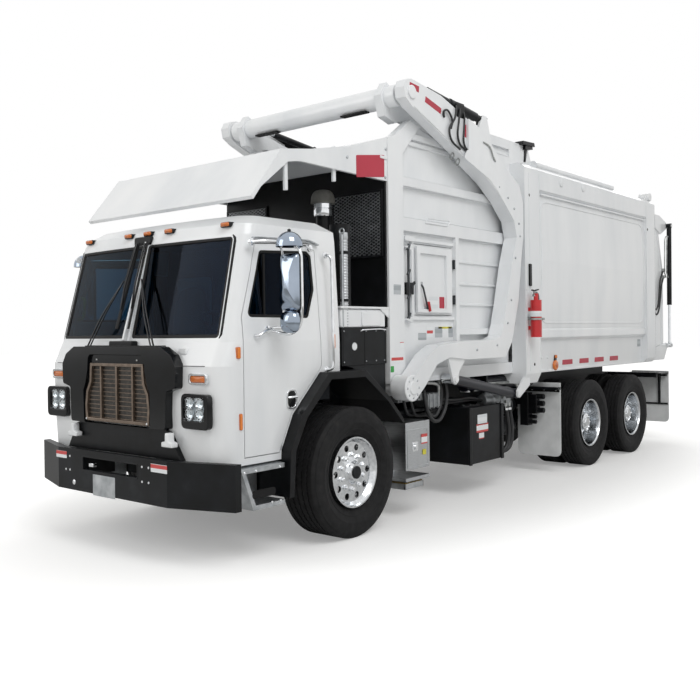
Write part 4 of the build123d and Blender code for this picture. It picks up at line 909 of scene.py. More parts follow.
marker_x = (-0.87, -0.26, 0.0, 0.26, 0.87)
marker_domes, marker_rims = [], []
for x in marker_x:
    y = MARKER_Y - 0.045 * (1 - (x / 0.91) ** 2)
    outline = rectangle((x, MARKER_Z), 0.105, 0.04, 0.016)
    marker_rims.append(front_plate(outline, y - 0.026, y + 0.03))
    marker_domes.append(dome(rectangle((x, MARKER_Z + 0.002), 0.09, 0.032, 0.014), y - 0.024, 0.026))
put("roof_marker_bases", marker_rims, black_moulding, bevel=0.003)
put("roof_marker_lenses", marker_domes, amber_lens)
made("front lamps")

# %% [markdown]
# ## Surround
#
# Above and beside the grille the photograph shows a rounded black duct, like a pressed hood
# with a lobe at each shoulder. One section is carried along the duct's centre line, so the
# highlight runs unbroken over the arch, and the mesh panel sits in its shadow.

# %% The rounded hood round the grille
arch_half = [(0.606, 0.985), (0.616, 1.265), (0.722, 1.29), (0.728, 1.45), (0.674, 1.533), (0.56, 1.592)]
inner_half = [(0.424, 0.985), (0.43, 1.24), (0.4, 1.3), (0.372, 1.4), (0.362, 1.5), (0.34, 1.53)]
arch = rounded(arch_half + [(-x, z) for x, z in arch_half[::-1]], 0.028)
arch_inner = rounded(inner_half + [(-x, z) for x, z in inner_half[::-1]], 0.028)
put("grille_hood", ring_plate(arch, arch_inner, -1.478, -1.395), gloss_black, bevel=0.026, segments=4)
top_panel = front_plate([(-0.372, 1.44), (0.372, 1.44), (0.35, 1.53), (-0.35, 1.53)], -1.456, -1.43)
put("grille_top_panel", top_panel, gloss_black, bevel=0.004)
put("grille_top_bolts", bolts([(-0.26, -1.457, 1.49), (0.26, -1.457, 1.49), (-0.39, -1.472, 1.014),
                               (0.39, -1.472, 1.014)], "-y", 0.01), chrome)
made("grille hood")

# %% [markdown]
# ## Tow hooks and bumper fittings
#
# The recess in the bumper holds the tow pin, two white hooks stand behind it, and bolts with
# bright heads tie the bumper to its stays. The plate in the middle is left bare.

# %% Hooks, bolts, labels and the bare plate
hook_profile = rounded([(-0.062, 0.0), (0.062, 0.0), (0.062, 0.036), (0.022, 0.044), (0.02, 0.105),
                        (-0.02, 0.105), (-0.022, 0.044), (-0.062, 0.036)], 0.012)
hooks = joined(*(front_plate(hook_profile + [x, 0.862], -1.5, -1.44) for x in (-0.565, 0.645)))
put("tow_hooks", hooks, white_paint, bevel=0.008)
BUMPER_Y = -1.542
stay_bolts = [(x, BUMPER_Y + 0.006, z) for x in (-0.592, -0.535, 0.41, 0.488) for z in (0.596, 0.706)]
put("bumper_bolts", bolts(stay_bolts, "-y", 0.011, 0.008), chrome)
put("bumper_lower_bolt", bolts([(-0.48, BUMPER_Y + 0.009, 0.5)], "-y", 0.022, 0.012, 16), chrome)
bare_plate = front_plate(rectangle((-0.07, 0.508), 0.29, 0.165, 0.006), BUMPER_Y - 0.002, BUMPER_Y + 0.001)
put("bumper_plate", bare_plate, mill_aluminium, bevel=0.0015)
labels = [front_plate(rectangle((x, z), w, h, 0.004), BUMPER_Y - 0.0015, BUMPER_Y + 0.001)
          for x, z, w, h in ((-0.655, 0.712, 0.15, 0.056), (0.61, 0.712, 0.185, 0.06))]
put("bumper_labels", labels, red_white_label)
pin = block((-0.305, -0.245), (-1.52, -1.484), (0.636, 0.668))
put("tow_pin", pin, chrome, bevel=0.004)
slot_ring = ring_plate(rectangle((0, 0.665), 0.724, 0.118, 0.012),
                       rectangle((0, 0.665), 0.698, 0.098, 0.006), BUMPER_Y - 0.002, BUMPER_Y + 0.004)
put("bumper_slot_edge", slot_ring, black_enamel, bevel=0.002)
made("bumper fittings")

# %% [markdown]
# ## Windscreen, seals and wipers
#
# Each pane sits in an extruded rubber seal, so the seal's path is read from the pane's own
# rim and a round section is carried along it. The white post between the panes and the two
# parked wipers, hung from one motor box at the top, are what the eye sees first.

# %% Seals round the panes, the centre post and the roof drip rail
seal_section = rectangle((0, 0), 0.052, 0.02, 0.008, 3)
screen_loops = rims_of("windscreen", (0, -1, 0.3))
put("windscreen_seals", [carried(loop, seal_section, closed=True) for loop in screen_loops], seal_rubber)
made("windscreen seals")
SCREEN_BASE = np.array([0.0, -1.372, 1.64])
SCREEN_TOP = np.array([0.0, -1.14, 2.41])


def on_screen(x, share, proud=0.02):
    """A place on the glass: x across, a share of the way up, and how far it stands off."""
    p = SCREEN_BASE + share * (SCREEN_TOP - SCREEN_BASE)
    bow = 0.04 * (x / 0.95) ** 2
    return (x, p[1] + bow - proud, p[2] + 0.3 * proud)


post = bar([on_screen(0.0, share, 0.012) for share in (-0.01, 0.5, 1.01)],
           rectangle((0, 0), 0.04, 0.024, 0.008, 3))
put("windscreen_post", post, white_paint)
wiper_box = front_plate(rectangle((-0.045, 2.436), 0.215, 0.07, 0.024), -1.165, -1.075)
lower_box = front_plate(rectangle((-0.02, 1.612), 0.3, 0.046, 0.014), -1.412, -1.352)
put("wiper_motor_boxes", [wiper_box, lower_box], black_moulding, bevel=0.008)
arms_up, blades = [], []
for side in (-1, 1):
    top = on_screen(side * 0.055 - 0.01, 1.0, 0.045)
    low = on_screen(side * 0.075 - 0.01, 0.1, 0.045)
    arms_up += [tube([on_screen(side * 0.05 - 0.01, 0.98, 0.06), on_screen(side * 0.065 - 0.01, 0.52, 0.07),
                      on_screen(side * 0.07 - 0.01, 0.3, 0.055)], 0.007, 0.05, 10),
                tube([on_screen(side * 0.08 - 0.01, 0.97, 0.052),
                      on_screen(side * 0.098 - 0.01, 0.52, 0.06)], 0.005, 0, 10)]
    blades.append(bar((top, low), rectangle((0, 0), 0.012, 0.03, 0.004, 2)))
    foot = (side * 0.455 - 0.03, -1.42, 1.545)
    middle = on_screen(side * 0.135 - 0.02, 0.56, 0.05)
    arms_up += [tube([foot, on_screen(side * 0.3 - 0.02, 0.22, 0.06), middle], 0.007, 0.1, 10),
                tube([(foot[0] - side * 0.035, foot[1], foot[2]),
                      on_screen(side * 0.255 - 0.02, 0.24, 0.06),
                      on_screen(side * 0.115 - 0.02, 0.6, 0.05)], 0.006, 0.1, 10)]
put("wiper_arms", arms_up, gloss_black)
put("wiper_blades", blades, seal_rubber)
wiper_feet = bolts([(side * 0.455 - 0.045, -1.4, 1.548) for side in (-1, 1)], "-y", 0.022, 0.03, 16)
put("wiper_pivots", wiper_feet, black_moulding)

# %% Cowl seam, latches, corner markers and the corner posts of the cab's face
def face_line(z, proud=0.0015, half=0.945, stations=25):
    """The cab's bowed face at a height: y = the front less a bow of 45 mm, then round the corner."""
    x = np.linspace(-half, half, stations)
    y = -1.385 - 0.045 * (1 - (x / 0.95) ** 2) - proud
    return np.column_stack([x, along(y), np.full(stations, z)])


seam_section = rectangle((0, 0), 0.004, 0.005, 0.001, 1)
put("cowl_seam", carried(face_line(1.452, 0.0), seam_section), black_enamel)
latch = rounded([(-0.04, 0.02), (-0.04, -0.012), (-0.02, -0.026), (0.04, -0.026), (0.04, 0.02)][::-1],
                0.008)
latches = joined(*(front_plate(latch + [x, 1.562], -1.372, -1.33) for x in (-0.74, 0.68)))
put("cowl_latches", latches, white_paint, bevel=0.004)
CAB_X = 1.1
SHOULDER = CAB_X - 0.018
marker_rows = [(-1.206, 1.545, 0.036, 0.085), (-1.19, 1.048, 0.028, 0.12)]
marker_blocks = [side_plate(rectangle((y, z), w, h, 0.012), SHOULDER, CAB_X + 0.012)
                 for y, z, w, h in marker_rows]
put("corner_markers", both(*marker_blocks), amber_lens, bevel=0.005)
made("wipers, cowl and corner markers")

# %% [markdown]
# ## Cab lining and rear windows
#
# Through tinted glass the eye meets the cab's inside, so a plain white shell would turn the
# panes grey. The real one has a dark vinyl lining with two windows in the back wall. The
# lining is a thin box set off from the shell, open where the panes are. The rear windows are
# opaque panes in a pale teal that paints the daylight seen through them.

# %% Lining, rear windows and the handrail inside the screen
BACK_Y = -0.125
back_wall = block((-1.02, 1.02), (BACK_Y, BACK_Y + 0.006), (1.14, 2.5))
headliner = block((-1.0, 1.0), (-1.02, BACK_Y), (2.47, 2.476))
rear_post = both(block((1.02, 1.032), (-0.29, BACK_Y), (1.14, 2.46)))
put("cab_lining", [back_wall, headliner, rear_post], dark_lining)
panes = ((-0.62, 0.5), (0.02, 0.42), (0.66, 0.36))
# The rear windows are opaque, painted with the daylight seen through them.
windows = [front_plate(rectangle((x, 1.98), w, 0.46, 0.06), BACK_Y - 0.006, BACK_Y - 0.001)
           for x, w in panes]
put("rear_windows", windows, painted_daylight_pane)
window_seals = [ring_plate(rectangle((x, 1.98), w + 0.04, 0.5, 0.08), rectangle((x, 1.98), w, 0.46, 0.06),
                           BACK_Y - 0.012, BACK_Y - 0.001) for x, w in panes]
put("rear_window_seals", window_seals, seal_rubber)
rail_places = [(-0.985, -1.115, 2.01), (-0.87, -1.15, 2.0), (-0.88, -1.16, 1.83), (-0.985, -1.14, 1.815)]
put("inner_handrail", tube(rail_places, 0.014, 0.05), yellow_coat)
made("lining pieces")

# %% [markdown]
# ## Doors
#
# Each door has a rubber seal round its opening glass, a fixed quarter pane in front, a chrome
# grab handle and a long chrome rail on the pillar behind it. All of these are rods and
# extrusions, so they are sections carried along lines. The pieces on the door ride with it,
# while the pillar's rail stays with the cab.

# %% Window seals, quarter divider, handles
for side, sign, mirror in (("left", 1, lambda s: s), ("right", -1, flipped)):
    body = f"cab_door_{side}"
    loops = rims_of(f"door_glass_{side}", (sign, 0, 0))
    put(f"door_seals_{side}", [carried(loop, rectangle((0, 0), 0.044, 0.018, 0.006, 2), closed=True)
                               for loop in loops], seal_rubber, body)
    divider = block((1.066, 1.084), (-0.925, -0.907), (1.8, 2.27))
    put(f"quarter_divider_{side}", mirror(divider), seal_rubber, body, bevel=0.003)
    oval = side_ring(rectangle((-0.655, 1.176), 0.118, 0.15, 0.055, 8),
                     rectangle((-0.655, 1.176), 0.09, 0.122, 0.042, 8), CAB_X - 0.002, CAB_X + 0.01)
    cup = side_plate(rectangle((-0.655, 1.176), 0.094, 0.126, 0.044, 8), CAB_X - 0.002, CAB_X + 0.002)
    lever = tube([(CAB_X + 0.006, -0.695, 1.19), (CAB_X + 0.022, -0.67, 1.192),
                  (CAB_X + 0.022, -0.615, 1.192)], 0.01, 0.02)
    put(f"door_handle_rim_{side}", mirror(oval), chrome, body, bevel=0.003)
    put(f"door_handle_cup_{side}", mirror(cup), gloss_black, body)
    put(f"door_handle_lever_{side}", mirror(lever), chrome, body)
    drip = carried(bent_path([(CAB_X - 0.03, -1.01, 2.392), (CAB_X - 0.028, -0.42, 2.412),
                              (CAB_X - 0.028, -0.3, 2.38)], 0.05), rectangle((0, 0), 0.01, 0.04, 0.004, 2))
    put(f"drip_rail_{side}", mirror(drip), mill_aluminium)
    rail = [(CAB_X + 0.002, -0.245, 2.3), (CAB_X + 0.05, -0.235, 2.29), (CAB_X + 0.055, -0.225, 2.25),
            (CAB_X + 0.055, -0.215, 1.43), (CAB_X + 0.05, -0.225, 1.39), (CAB_X + 0.002, -0.24, 1.38)]
    feet = bolts([(CAB_X, -0.245, 2.3), (CAB_X, -0.24, 1.38)], "x", 0.026, 0.01, 16)
    put(f"pillar_rail_{side}", mirror(joined(tube(rail, 0.013, 0.035), feet)), chrome)
    rail_marker = side_plate(rectangle((-0.15, 1.61), 0.034, 0.12, 0.014), CAB_X - 0.002, CAB_X + 0.012)
    put(f"pillar_marker_{side}", mirror(rail_marker), amber_lens, bevel=0.005)
    door_tube = [(CAB_X + 0.002, -1.04, 1.668), (CAB_X + 0.04, -1.03, 1.665), (CAB_X + 0.045, -0.975, 1.7),
                 (CAB_X + 0.045, -0.88, 1.725), (CAB_X + 0.045, -0.8, 1.72), (CAB_X + 0.09, -0.77, 1.715)]
    put(f"wavy_grab_tube_{side}", mirror(tube(door_tube, 0.011, 0.04)), chrome, body)
made("door fittings")

# %% [markdown]
# ## Mirrors
#
# A truck's mirror is a tall head in a pressed chrome shell, with a round convex glass below it
# and a dome on top, all on one bent tube. The shells are domes: rings of an outline that
# shrink while the surface rises along a quarter circle. The glass faces back.

# %% Mirror heads, dome, convex glass and tubes
MIRROR_X, MIRROR_Y = 1.3, -0.87
for side, mirror in SIDES:
    body = f"cab_door_{side}"
    head = rectangle((MIRROR_X, 2.055), 0.175, 0.415, 0.035)
    shell = dome(head, MIRROR_Y, 0.052, 7)
    rim = ring_plate(head, rectangle((MIRROR_X, 2.055), 0.155, 0.395, 0.028), MIRROR_Y + 0.008,
                     MIRROR_Y + 0.02)
    glass = front_plate(rectangle((MIRROR_X, 2.055), 0.158, 0.398, 0.028), MIRROR_Y + 0.01,
                        MIRROR_Y + 0.015)
    low_head = rectangle((MIRROR_X, 1.765), 0.168, 0.168, 0.083, 10)
    low_shell = dome(low_head, MIRROR_Y, 0.06, 7)
    low_glass = front_plate(rectangle((MIRROR_X, 1.765), 0.156, 0.156, 0.077, 10), MIRROR_Y + 0.01,
                            MIRROR_Y + 0.016)
    ball = [(0.1 * np.sin(a), 0.1 * np.cos(a)) for a in np.linspace(0, 0.485 * np.pi, 9)]
    top_dome = spun([(-0.012, 0.001), (-0.012, 0.1)] + ball, (MIRROR_X, MIRROR_Y, 2.325), "z", 40)
    stub = spun([(0.0, 0.014), (0.02, 0.013), (0.024, 0.001)], (MIRROR_X, MIRROR_Y, 2.42), "z", 16)
    put(f"mirror_shells_{side}", mirror(joined(shell, low_shell, top_dome)), mirror_chrome_painted_sky, body,
        replaces=(f"mirror_{side}",))
    put(f"mirror_glass_{side}", mirror(joined(glass, low_glass)), polished_aluminium, body)
    put(f"mirror_rims_{side}", mirror(joined(rim, stub)), gloss_black, body, bevel=0.002)
    loop = [(1.098, -1.06, 2.352), (1.18, -0.96, 2.362), (1.34, -0.838, 2.332), (1.378, -0.828, 2.27),
            (1.38, -0.826, 1.86), (1.366, -0.828, 1.73), (1.28, -0.845, 1.668), (1.15, -0.86, 1.69),
            (1.098, -0.9, 1.712)]
    inner = [(1.23, -0.905, 2.345), (1.212, -0.85, 2.28), (1.208, -0.845, 1.86), (1.222, -0.85, 1.69)]
    upper_bar = [(1.098, -0.42, 2.345), (1.18, -0.56, 2.35), (1.29, -0.8, 2.315)]
    clamps = bolts([(1.098, -1.06, 2.352), (1.098, -0.9, 1.712), (1.098, -0.42, 2.345)], "x", 0.028, 0.012,
                   16)
    put(f"mirror_tubes_{side}", mirror(joined(tube(loop, 0.012, 0.06), tube(inner, 0.009, 0.05),
                                              tube(upper_bar, 0.01, 0.05), clamps)), chrome, body)
made("mirrors")
# %% [markdown]
# ## Canopy and hopper
#
# The canopy is a bent sheet that keeps rubbish off the cab. Behind it the hopper's side is a
# flat panel between welded ribs, with pressed louvers, a service door held by two latch rods,
# and its hinges and stickers. A louver is a bent strip, so one small section is carried along
# the panel for each, and the door's pieces ride with the door.

# %% Canopy brackets, the bare sign place and bolts
CANOPY_X = 1.04
PANEL_X = 1.005
RIB_X = 1.05
sign_place = rounded([(0.251, 2.999), (0.646, 3.051), (0.648, 3.246), (0.251, 3.187)], 0.012)
put("canopy_sign_place", both(side_plate(sign_place, CANOPY_X - 0.001, CANOPY_X + 0.0035)), plain_red,
    bevel=0.001)
hangers = [side_plate([(y - 0.018, z), (y + 0.018, z + 0.004), (y + 0.018, z + 0.3), (y - 0.018, z + 0.29)],
                      CANOPY_X - 0.045, CANOPY_X - 0.022) for y, z in ((-0.592, 2.79), (-0.009, 2.93))]
put("canopy_hangers", both(*hangers), white_paint, bevel=0.004)
canopy_bolts = bolts([(CANOPY_X, 0.672, 3.302), (CANOPY_X, 0.66, 3.05), (CANOPY_X, 0.129, 3.152)], "x",
                     0.015, 0.008)
put("canopy_bolts", both(canopy_bolts), mill_aluminium)
canopy_strap = side_plate(rectangle((0.632, 3.222), 0.1, 0.026, 0.008), CANOPY_X, CANOPY_X + 0.012)
put("canopy_strap", both(canopy_strap), white_paint, bevel=0.003)
made("canopy fittings")

# %% Louvers, door surround and latch on the hopper's side
louver_section = rounded([(-0.004, -0.022), (0.02, -0.01), (0.02, 0.004), (-0.004, 0.022)], 0.006, 3)
louvers = [prism(np.column_stack([PANEL_X + louver_section[:, 0], z + louver_section[:, 1]]), along(1.868),
                 along(2.8), "y") for z in (2.37, 2.15, 1.943)]
put("hopper_louvers", both(*louvers), white_paint)
door_surround = side_ring(rectangle((1.455, 2.165), 0.76, 0.76, 0.012, 2),
                          rectangle((1.455, 2.165), 0.7, 0.7, 0.01, 2), PANEL_X, PANEL_X + 0.022)
put("hopper_door_surround", door_surround, white_paint, bevel=0.004)
LATCH_X = 1.046
latch_line = [(LATCH_X, 0.995, 2.45), (LATCH_X, 0.99, 1.8)]
latch_rods = joined(tube(latch_line, 0.012, 0), *(tube([(LATCH_X, 0.985, z), (LATCH_X, 1.01, z + 0.05)],
                                                       0.015, 0) for z in (2.43, 2.2, 1.98, 1.8)))
ends = [side_plate(rounded([(0.94, z), (1.048, z + 0.03), (1.048, z - 0.03)], 0.008), PANEL_X - 0.002,
                   RIB_X) for z in (2.455, 1.79)]
latch_box = [side_plate(rectangle((1.005, 2.075), 0.12, 0.11, 0.012), PANEL_X - 0.002, 1.056),
             side_plate([(1.01, 2.1), (1.085, 2.145), (1.095, 2.125), (1.025, 2.07)], 1.04, 1.058)]
corner_plate = side_plate(rectangle((1.02, 2.535), 0.15, 0.05, 0.012), PANEL_X - 0.002, RIB_X)
put("latch_rods", both(latch_rods), dark_steel)
put("latch_mechanism", both(*latch_box), black_enamel, bevel=0.003)
put("latch_brackets", both(*ends, corner_plate), white_paint, bevel=0.003)


made("louvers and latches")


# %% Plain labels, step grip, ribs and welds
def panel_labels(name, material, places, x=PANEL_X):
    """Plain printed plates: one thin rounded rectangle for each (y, z, width, height)."""
    plates = [side_plate(rectangle((y, z), w, h, 0.006), x - 0.001, x + 0.0012) for y, z, w, h in places]
    return put(name, plates, material)


panel_labels("hopper_grey_labels", grey_label, [(1.265, 1.631, 0.135, 0.066), (1.545, 1.668, 0.13, 0.1),
                                                (1.76, 1.668, 0.08, 0.1)])
panel_labels("hopper_white_labels", red_white_label, [(1.395, 1.672, 0.1, 0.1)])
panel_labels("hopper_yellow_label", yellow_coat, [(1.66, 1.712, 0.24, 0.018)])
panel_labels("post_labels", red_white_label, [(0.8, 1.425, 0.18, 0.046), (0.87, 1.56, 0.06, 0.05)], RIB_X)
panel_labels("post_grey_label", grey_label, [(0.81, 2.06, 0.11, 0.09)], RIB_X)
panel_labels("post_green_label", green_label, [(0.72, 1.345, 0.05, 0.055)], RIB_X)
grip_loop = evenly(bent_path([(RIB_X + 0.003, y, z)
                              for y, z in ((1.27, 2.698), (1.294, 2.745), (1.691, 2.752), (1.66, 2.7),
                                           (1.27, 2.698))], 0.02), 0.02)
step_grip = carried(grip_loop, circle(0.0065, 10), closed=True)
put("hopper_step_grip", step_grip, white_paint)
top_rib = side_plate([(0.935, 3.4), (2.1, 3.4), (2.1, 3.44), (0.935, 3.44)], PANEL_X - 0.004,
                     PANEL_X + 0.02)
upper_rib = side_plate([(0.935, 3.455), (1.9, 3.455), (1.9, 3.515), (0.935, 3.515)], PANEL_X - 0.004,
                       RIB_X - 0.01)
put("hopper_top_ribs", both(top_rib, upper_rib), white_paint, bevel=0.005)
seams = [bar([(PANEL_X, 0.935, z), (PANEL_X, 2.92, z)], circle(0.004, 8)) for z in (2.735, 3.105, 2.585)]
put("hopper_welds", both(*seams), white_paint)
made("hopper fittings")

# %% The service door: deep frame, recessed panel, hinges, prop and grip
door_ring = side_ring(rectangle((1.44, 2.165), 0.596, 0.62, 0.01, 2),
                      rectangle((1.415, 2.15), 0.45, 0.52, 0.01, 2), 1.019, 1.046)
put("service_door_frame", door_ring, white_paint, "hopper_door", bevel=0.004)
DOOR_X = 1.02
prop = [(DOOR_X + 0.014, 1.215, 2.12), (DOOR_X + 0.03, 1.225, 2.09), (DOOR_X + 0.03, 1.3, 1.89)]
put("service_door_prop", tube(prop, 0.009, 0.02), dark_steel, "hopper_door")
prop_feet = [side_plate(rectangle((y, z), 0.04, 0.04, 0.01), DOOR_X - 0.002, DOOR_X + 0.02)
             for y, z in ((1.215, 2.125), (1.3, 1.89))]
put("service_door_prop_feet", prop_feet, mill_aluminium, "hopper_door", bevel=0.003)
grip = spun([(-0.048, 0.001), (-0.048, 0.015), (0.04, 0.018), (0.045, 0.012), (0.045, 0.001)],
            (DOOR_X + 0.03, 1.318, 1.915), "z", 20)
put("service_door_grip", turned(grip, (1, 0, 0), 0.35, place_of((DOOR_X + 0.03, 1.318, 1.915))), red_coat,
    "hopper_door")
put("service_door_card", side_plate(rectangle((1.44, 1.955), 0.15, 0.11, 0.005), DOOR_X - 0.001,
                                    DOOR_X + 0.0014), white_label, "hopper_door")
put("service_door_label", side_plate(rectangle((1.585, 1.955), 0.085, 0.11, 0.005), DOOR_X - 0.001,
                                     DOOR_X + 0.002), plain_red, "hopper_door")
hinge_barrels = [disc(-h, h, 0.014, (1.028, 1.8, z), "z", 20) for z, h in ((2.335, 0.045), (1.985, 0.045))]
hinge_leaves = [side_plate(rectangle((1.775, z), 0.05, 0.085, 0.006), 1.012, 1.03) for z in (2.335, 1.985)]
put("service_door_hinges", [*hinge_barrels, *hinge_leaves], dark_steel, "hopper_door", bevel=0.002)
made("service door pieces")

# %% [markdown]
# ## Header, camera and front wall
#
# The cover over the hopper ends in a stepped cap with a small camera. The front wall of the
# hopper is black, with a pale diamond mesh in a rim, and before it stand the air intake and a
# corrugated guard tube, whose radius follows a sine wave as it rises. The black wall panel is
# partly the wall's own black and partly painted shade from the canopy above.

# %% Cap, camera and cap seams
CAP_X = 1.04
cap_lines = [bar([(CAP_X + 0.001, 2.14, z), (CAP_X + 0.001, 2.92, z)],
                 rectangle((0, 0), 0.006, 0.01, 0.002, 2)) for z in (3.566, 3.648)]
put("cover_seams", both(*cap_lines), white_paint)
camera_case = side_plate([(3.235, 3.69), (3.42, 3.715), (3.405, 3.745), (3.25, 3.745)], 1.01, 1.075)
camera_hood = side_plate(rounded([(3.15, 3.735), (3.44, 3.745), (3.425, 3.79), (3.16, 3.775)], 0.006, 2),
                         0.985, 1.09)
camera_stay = side_plate([(3.255, 3.56), (3.29, 3.56), (3.33, 3.73), (3.28, 3.73)], 1.036, 1.052)
put("side_camera", [camera_case, camera_hood, camera_stay], black_moulding, bevel=0.004)
camera_eye = spun([(-0.004, 0.02), (0.012, 0.019), (0.016, 0.012), (0.016, 0.001)], (1.04, 3.245, 3.72),
                  "y", 20)
put("side_camera_eye", camera_eye, gloss_black)
made("cover seams and camera")

# %% Front wall: black wall that also paints the canopy's shade, diamond mesh, intake, stack guard, shelf and cabinet top
WALL_Y = 0.69
# Black wall panel: partly the wall's black paint, partly painted shade under the canopy.
black_wall_and_shade_panel = front_plate(rectangle((0.0, 2.45), 2.06, 1.46, 0.01), WALL_Y - 0.022, WALL_Y - 0.001)
put("black_wall_and_shade_panel", black_wall_and_shade_panel, black_moulding, bevel=0.004)


def diamond_mesh(x_range, z_range, pitch, rise, y, width):
    """Two sets of slanted strips, z = c + rise * x and z = c - rise * x, cut to the rectangle's edges."""
    strips = []
    for slope in (rise, -rise):
        reach = slope * np.array(x_range)
        for c in np.arange(z_range[0] - reach.max(), z_range[1] - reach.min(), pitch):
            cut = np.sort((np.array(z_range) - c) / slope)
            low, high = max(x_range[0], cut[0]), min(x_range[1], cut[1])
            if high - low > 0.01:
                ends = [(low, c + slope * low), (high, c + slope * high)]
                strips.append(front_plate([(x, z + s * width) for s, pair in ((-1, ends), (1, ends[::-1]))
                                           for x, z in pair], y - 0.004, y))
    return joined(*strips)


wire = diamond_mesh((0.44, 0.995), (2.365, 2.935), 0.03, 0.55, WALL_Y - 0.032, 0.0032)
mesh_rim = ring_plate(rectangle((0.7175, 2.65), 0.585, 0.6, 0.01, 2),
                      rectangle((0.7175, 2.65), 0.545, 0.56, 0.008, 2), WALL_Y - 0.042, WALL_Y - 0.02)
put("wall_mesh", both(wire), mesh_steel)
put("wall_mesh_rim", both(mesh_rim), black_enamel, bevel=0.002)
made("wall and mesh")

# %% Guard tube, post, lifting eye and brackets
GUARD = (1.0, 0.12)
rise = np.linspace(1.74, 2.46, 90)
ripple = 0.034 + 0.003 * np.sin(2 * np.pi * (rise - 1.74) / 0.024)
guard_profile = [(1.725, 0.001), (1.725, 0.036), *zip(rise, ripple), (2.48, 0.036), (2.52, 0.034),
                 (2.522, 0.001)]
put("stack_guard_tube", spun(guard_profile, (*GUARD, 0.0), "z", 36), brushed_stainless, angle=60)
thin_post = tube([(1.03, 0.06, 1.72), (1.03, 0.06, 2.5)], 0.01, 0)
t = np.linspace(0, 2 * np.pi, 25)[:-1]
eye_ring = carried([place_of((1.03 + 0.024 * np.cos(a), 0.06, 2.524 + 0.024 * np.sin(a))) for a in t],
                   circle(0.006, 8), closed=True)
put("lifting_eye", [thin_post, eye_ring], mill_aluminium)
guard_clamps = [disc(-0.012, 0.012, 0.042, (*GUARD, z), "z", 32, bore=0.034) for z in (1.95, 2.35)]
clamp_bars = [block((0.9, 0.975), (0.112, 0.132), (z - 0.01, z + 0.01)) for z in (1.95, 2.35)]
put("stack_brackets", [*guard_clamps, *clamp_bars], black_enamel, bevel=0.002)
made("guard pieces")

# %% Air intake: bent pipe, steel collar and hood
INTAKE = (0.506, 0.43)
put("side_intake", tube([(0.76, 0.43, 1.6), (0.506, 0.43, 1.66), (0.506, 0.43, 2.75)], 0.066, 0.12, 32),
    black_moulding, angle=40)
steel_collar = [(2.73, 0.001), (2.73, 0.082), (2.745, 0.086), (2.79, 0.086), (2.793, 0.078), (2.8, 0.078),
                (2.803, 0.086), (2.848, 0.086), (2.852, 0.001)]
put("side_intake_collar", spun(steel_collar, (*INTAKE, 0.0), "z", 40), chrome)
hood_curve = [(2.852 + 0.118 * np.sin(a), 0.112 * np.cos(a) ** 0.5)
              for a in np.linspace(0.06, 0.49 * np.pi, 10)]
put("side_intake_hood", spun([(2.846, 0.001), (2.846, 0.112), *hood_curve, (2.971, 0.001)], (*INTAKE, 0.0),
                             "z", 40), grey_plastic, angle=40)
made("intake pieces")

# %% Cabinet: shelf, top, duct, apron, handle and seams
shelf_top = block((0.56, 1.048), (0.02, 0.688), (1.88, 1.9))
shelf_foot = side_plate([(0.56, 1.882), (0.686, 1.882), (0.686, 1.8)], 1.034, 1.046)
cabinet_top = side_plate(rounded([(0.03, 1.722), (0.645, 1.722), (0.645, 1.876), (0.03, 1.876)], 0.01, 2),
                         0.6, 1.034)
put("cabinet_shelf", [shelf_top, shelf_foot], white_paint, bevel=0.004)
put("cabinet_top", cabinet_top, white_paint, bevel=0.008)
duct = side_plate(rounded([(0.3, 1.73), (0.56, 1.73), (0.56, 1.86), (0.3, 1.86)], 0.02), 1.03, 1.048)
put("cabinet_duct", duct, white_paint, bevel=0.008)
apron = side_plate([(0.06, 1.402), (0.645, 1.402), (0.645, 1.13), (0.53, 1.13), (0.18, 1.376)], 0.64, 1.032)
put("cabinet_apron", both(apron), black_enamel, bevel=0.006)
handle_path = [(1.036, 0.291, 1.69), (1.053, 0.3, 1.7), (1.054, 0.54, 1.706), (1.053, 0.63, 1.7),
               (1.036, 0.64, 1.69)]
put("cabinet_handle", tube(handle_path, 0.006, 0.01), chrome)
rivets = [(1.04, y, z) for y in (0.06, 0.36, 0.5, 0.62) for z in (1.43, 1.69)]
put("cabinet_rivets", bolts(rivets, "x", 0.006, 0.004, 8), mill_aluminium)
seam_lines = [block((1.039, 1.0415), (y - 0.003, y + 0.003), (1.405, 1.715)) for y in (0.05, 0.34, 0.632)]
put("cabinet_seams", both(*seam_lines), seal_rubber)
put("cabinet_label", spun([(-0.002, 0.001), (-0.002, 0.034), (0.0012, 0.033), (0.0012, 0.001)],
                          (1.04, 0.2, 1.56), "x", 32), white_label)
made("cabinet pieces")

# %% [markdown]
# ## Lift arms
#
# The arms are box sections cut from plate, so their edges carry weld beads and bolts, and
# strips of red tape warn along the top. The fork cylinder's valve and its hydraulic hoses lie
# over the upper box. Each hose is a curve's worth of points carried as a tube, close to the
# plate, so it stays on the arm at every height.

# %% Tape and edge bolts that ride with the arms
BOX_X = 1.19
ARM_X = 1.219


def slanted(start, end, width):
    """A strip's outline from one (y, z) to another: start and end -/+ width / 2 square to the line."""
    start, end = np.array(start, float), np.array(end, float)
    across = np.array([start[1] - end[1], end[0] - start[0]])
    across *= width / 2 / np.linalg.norm(across)
    return [start - across, end - across, end + across, start + across]


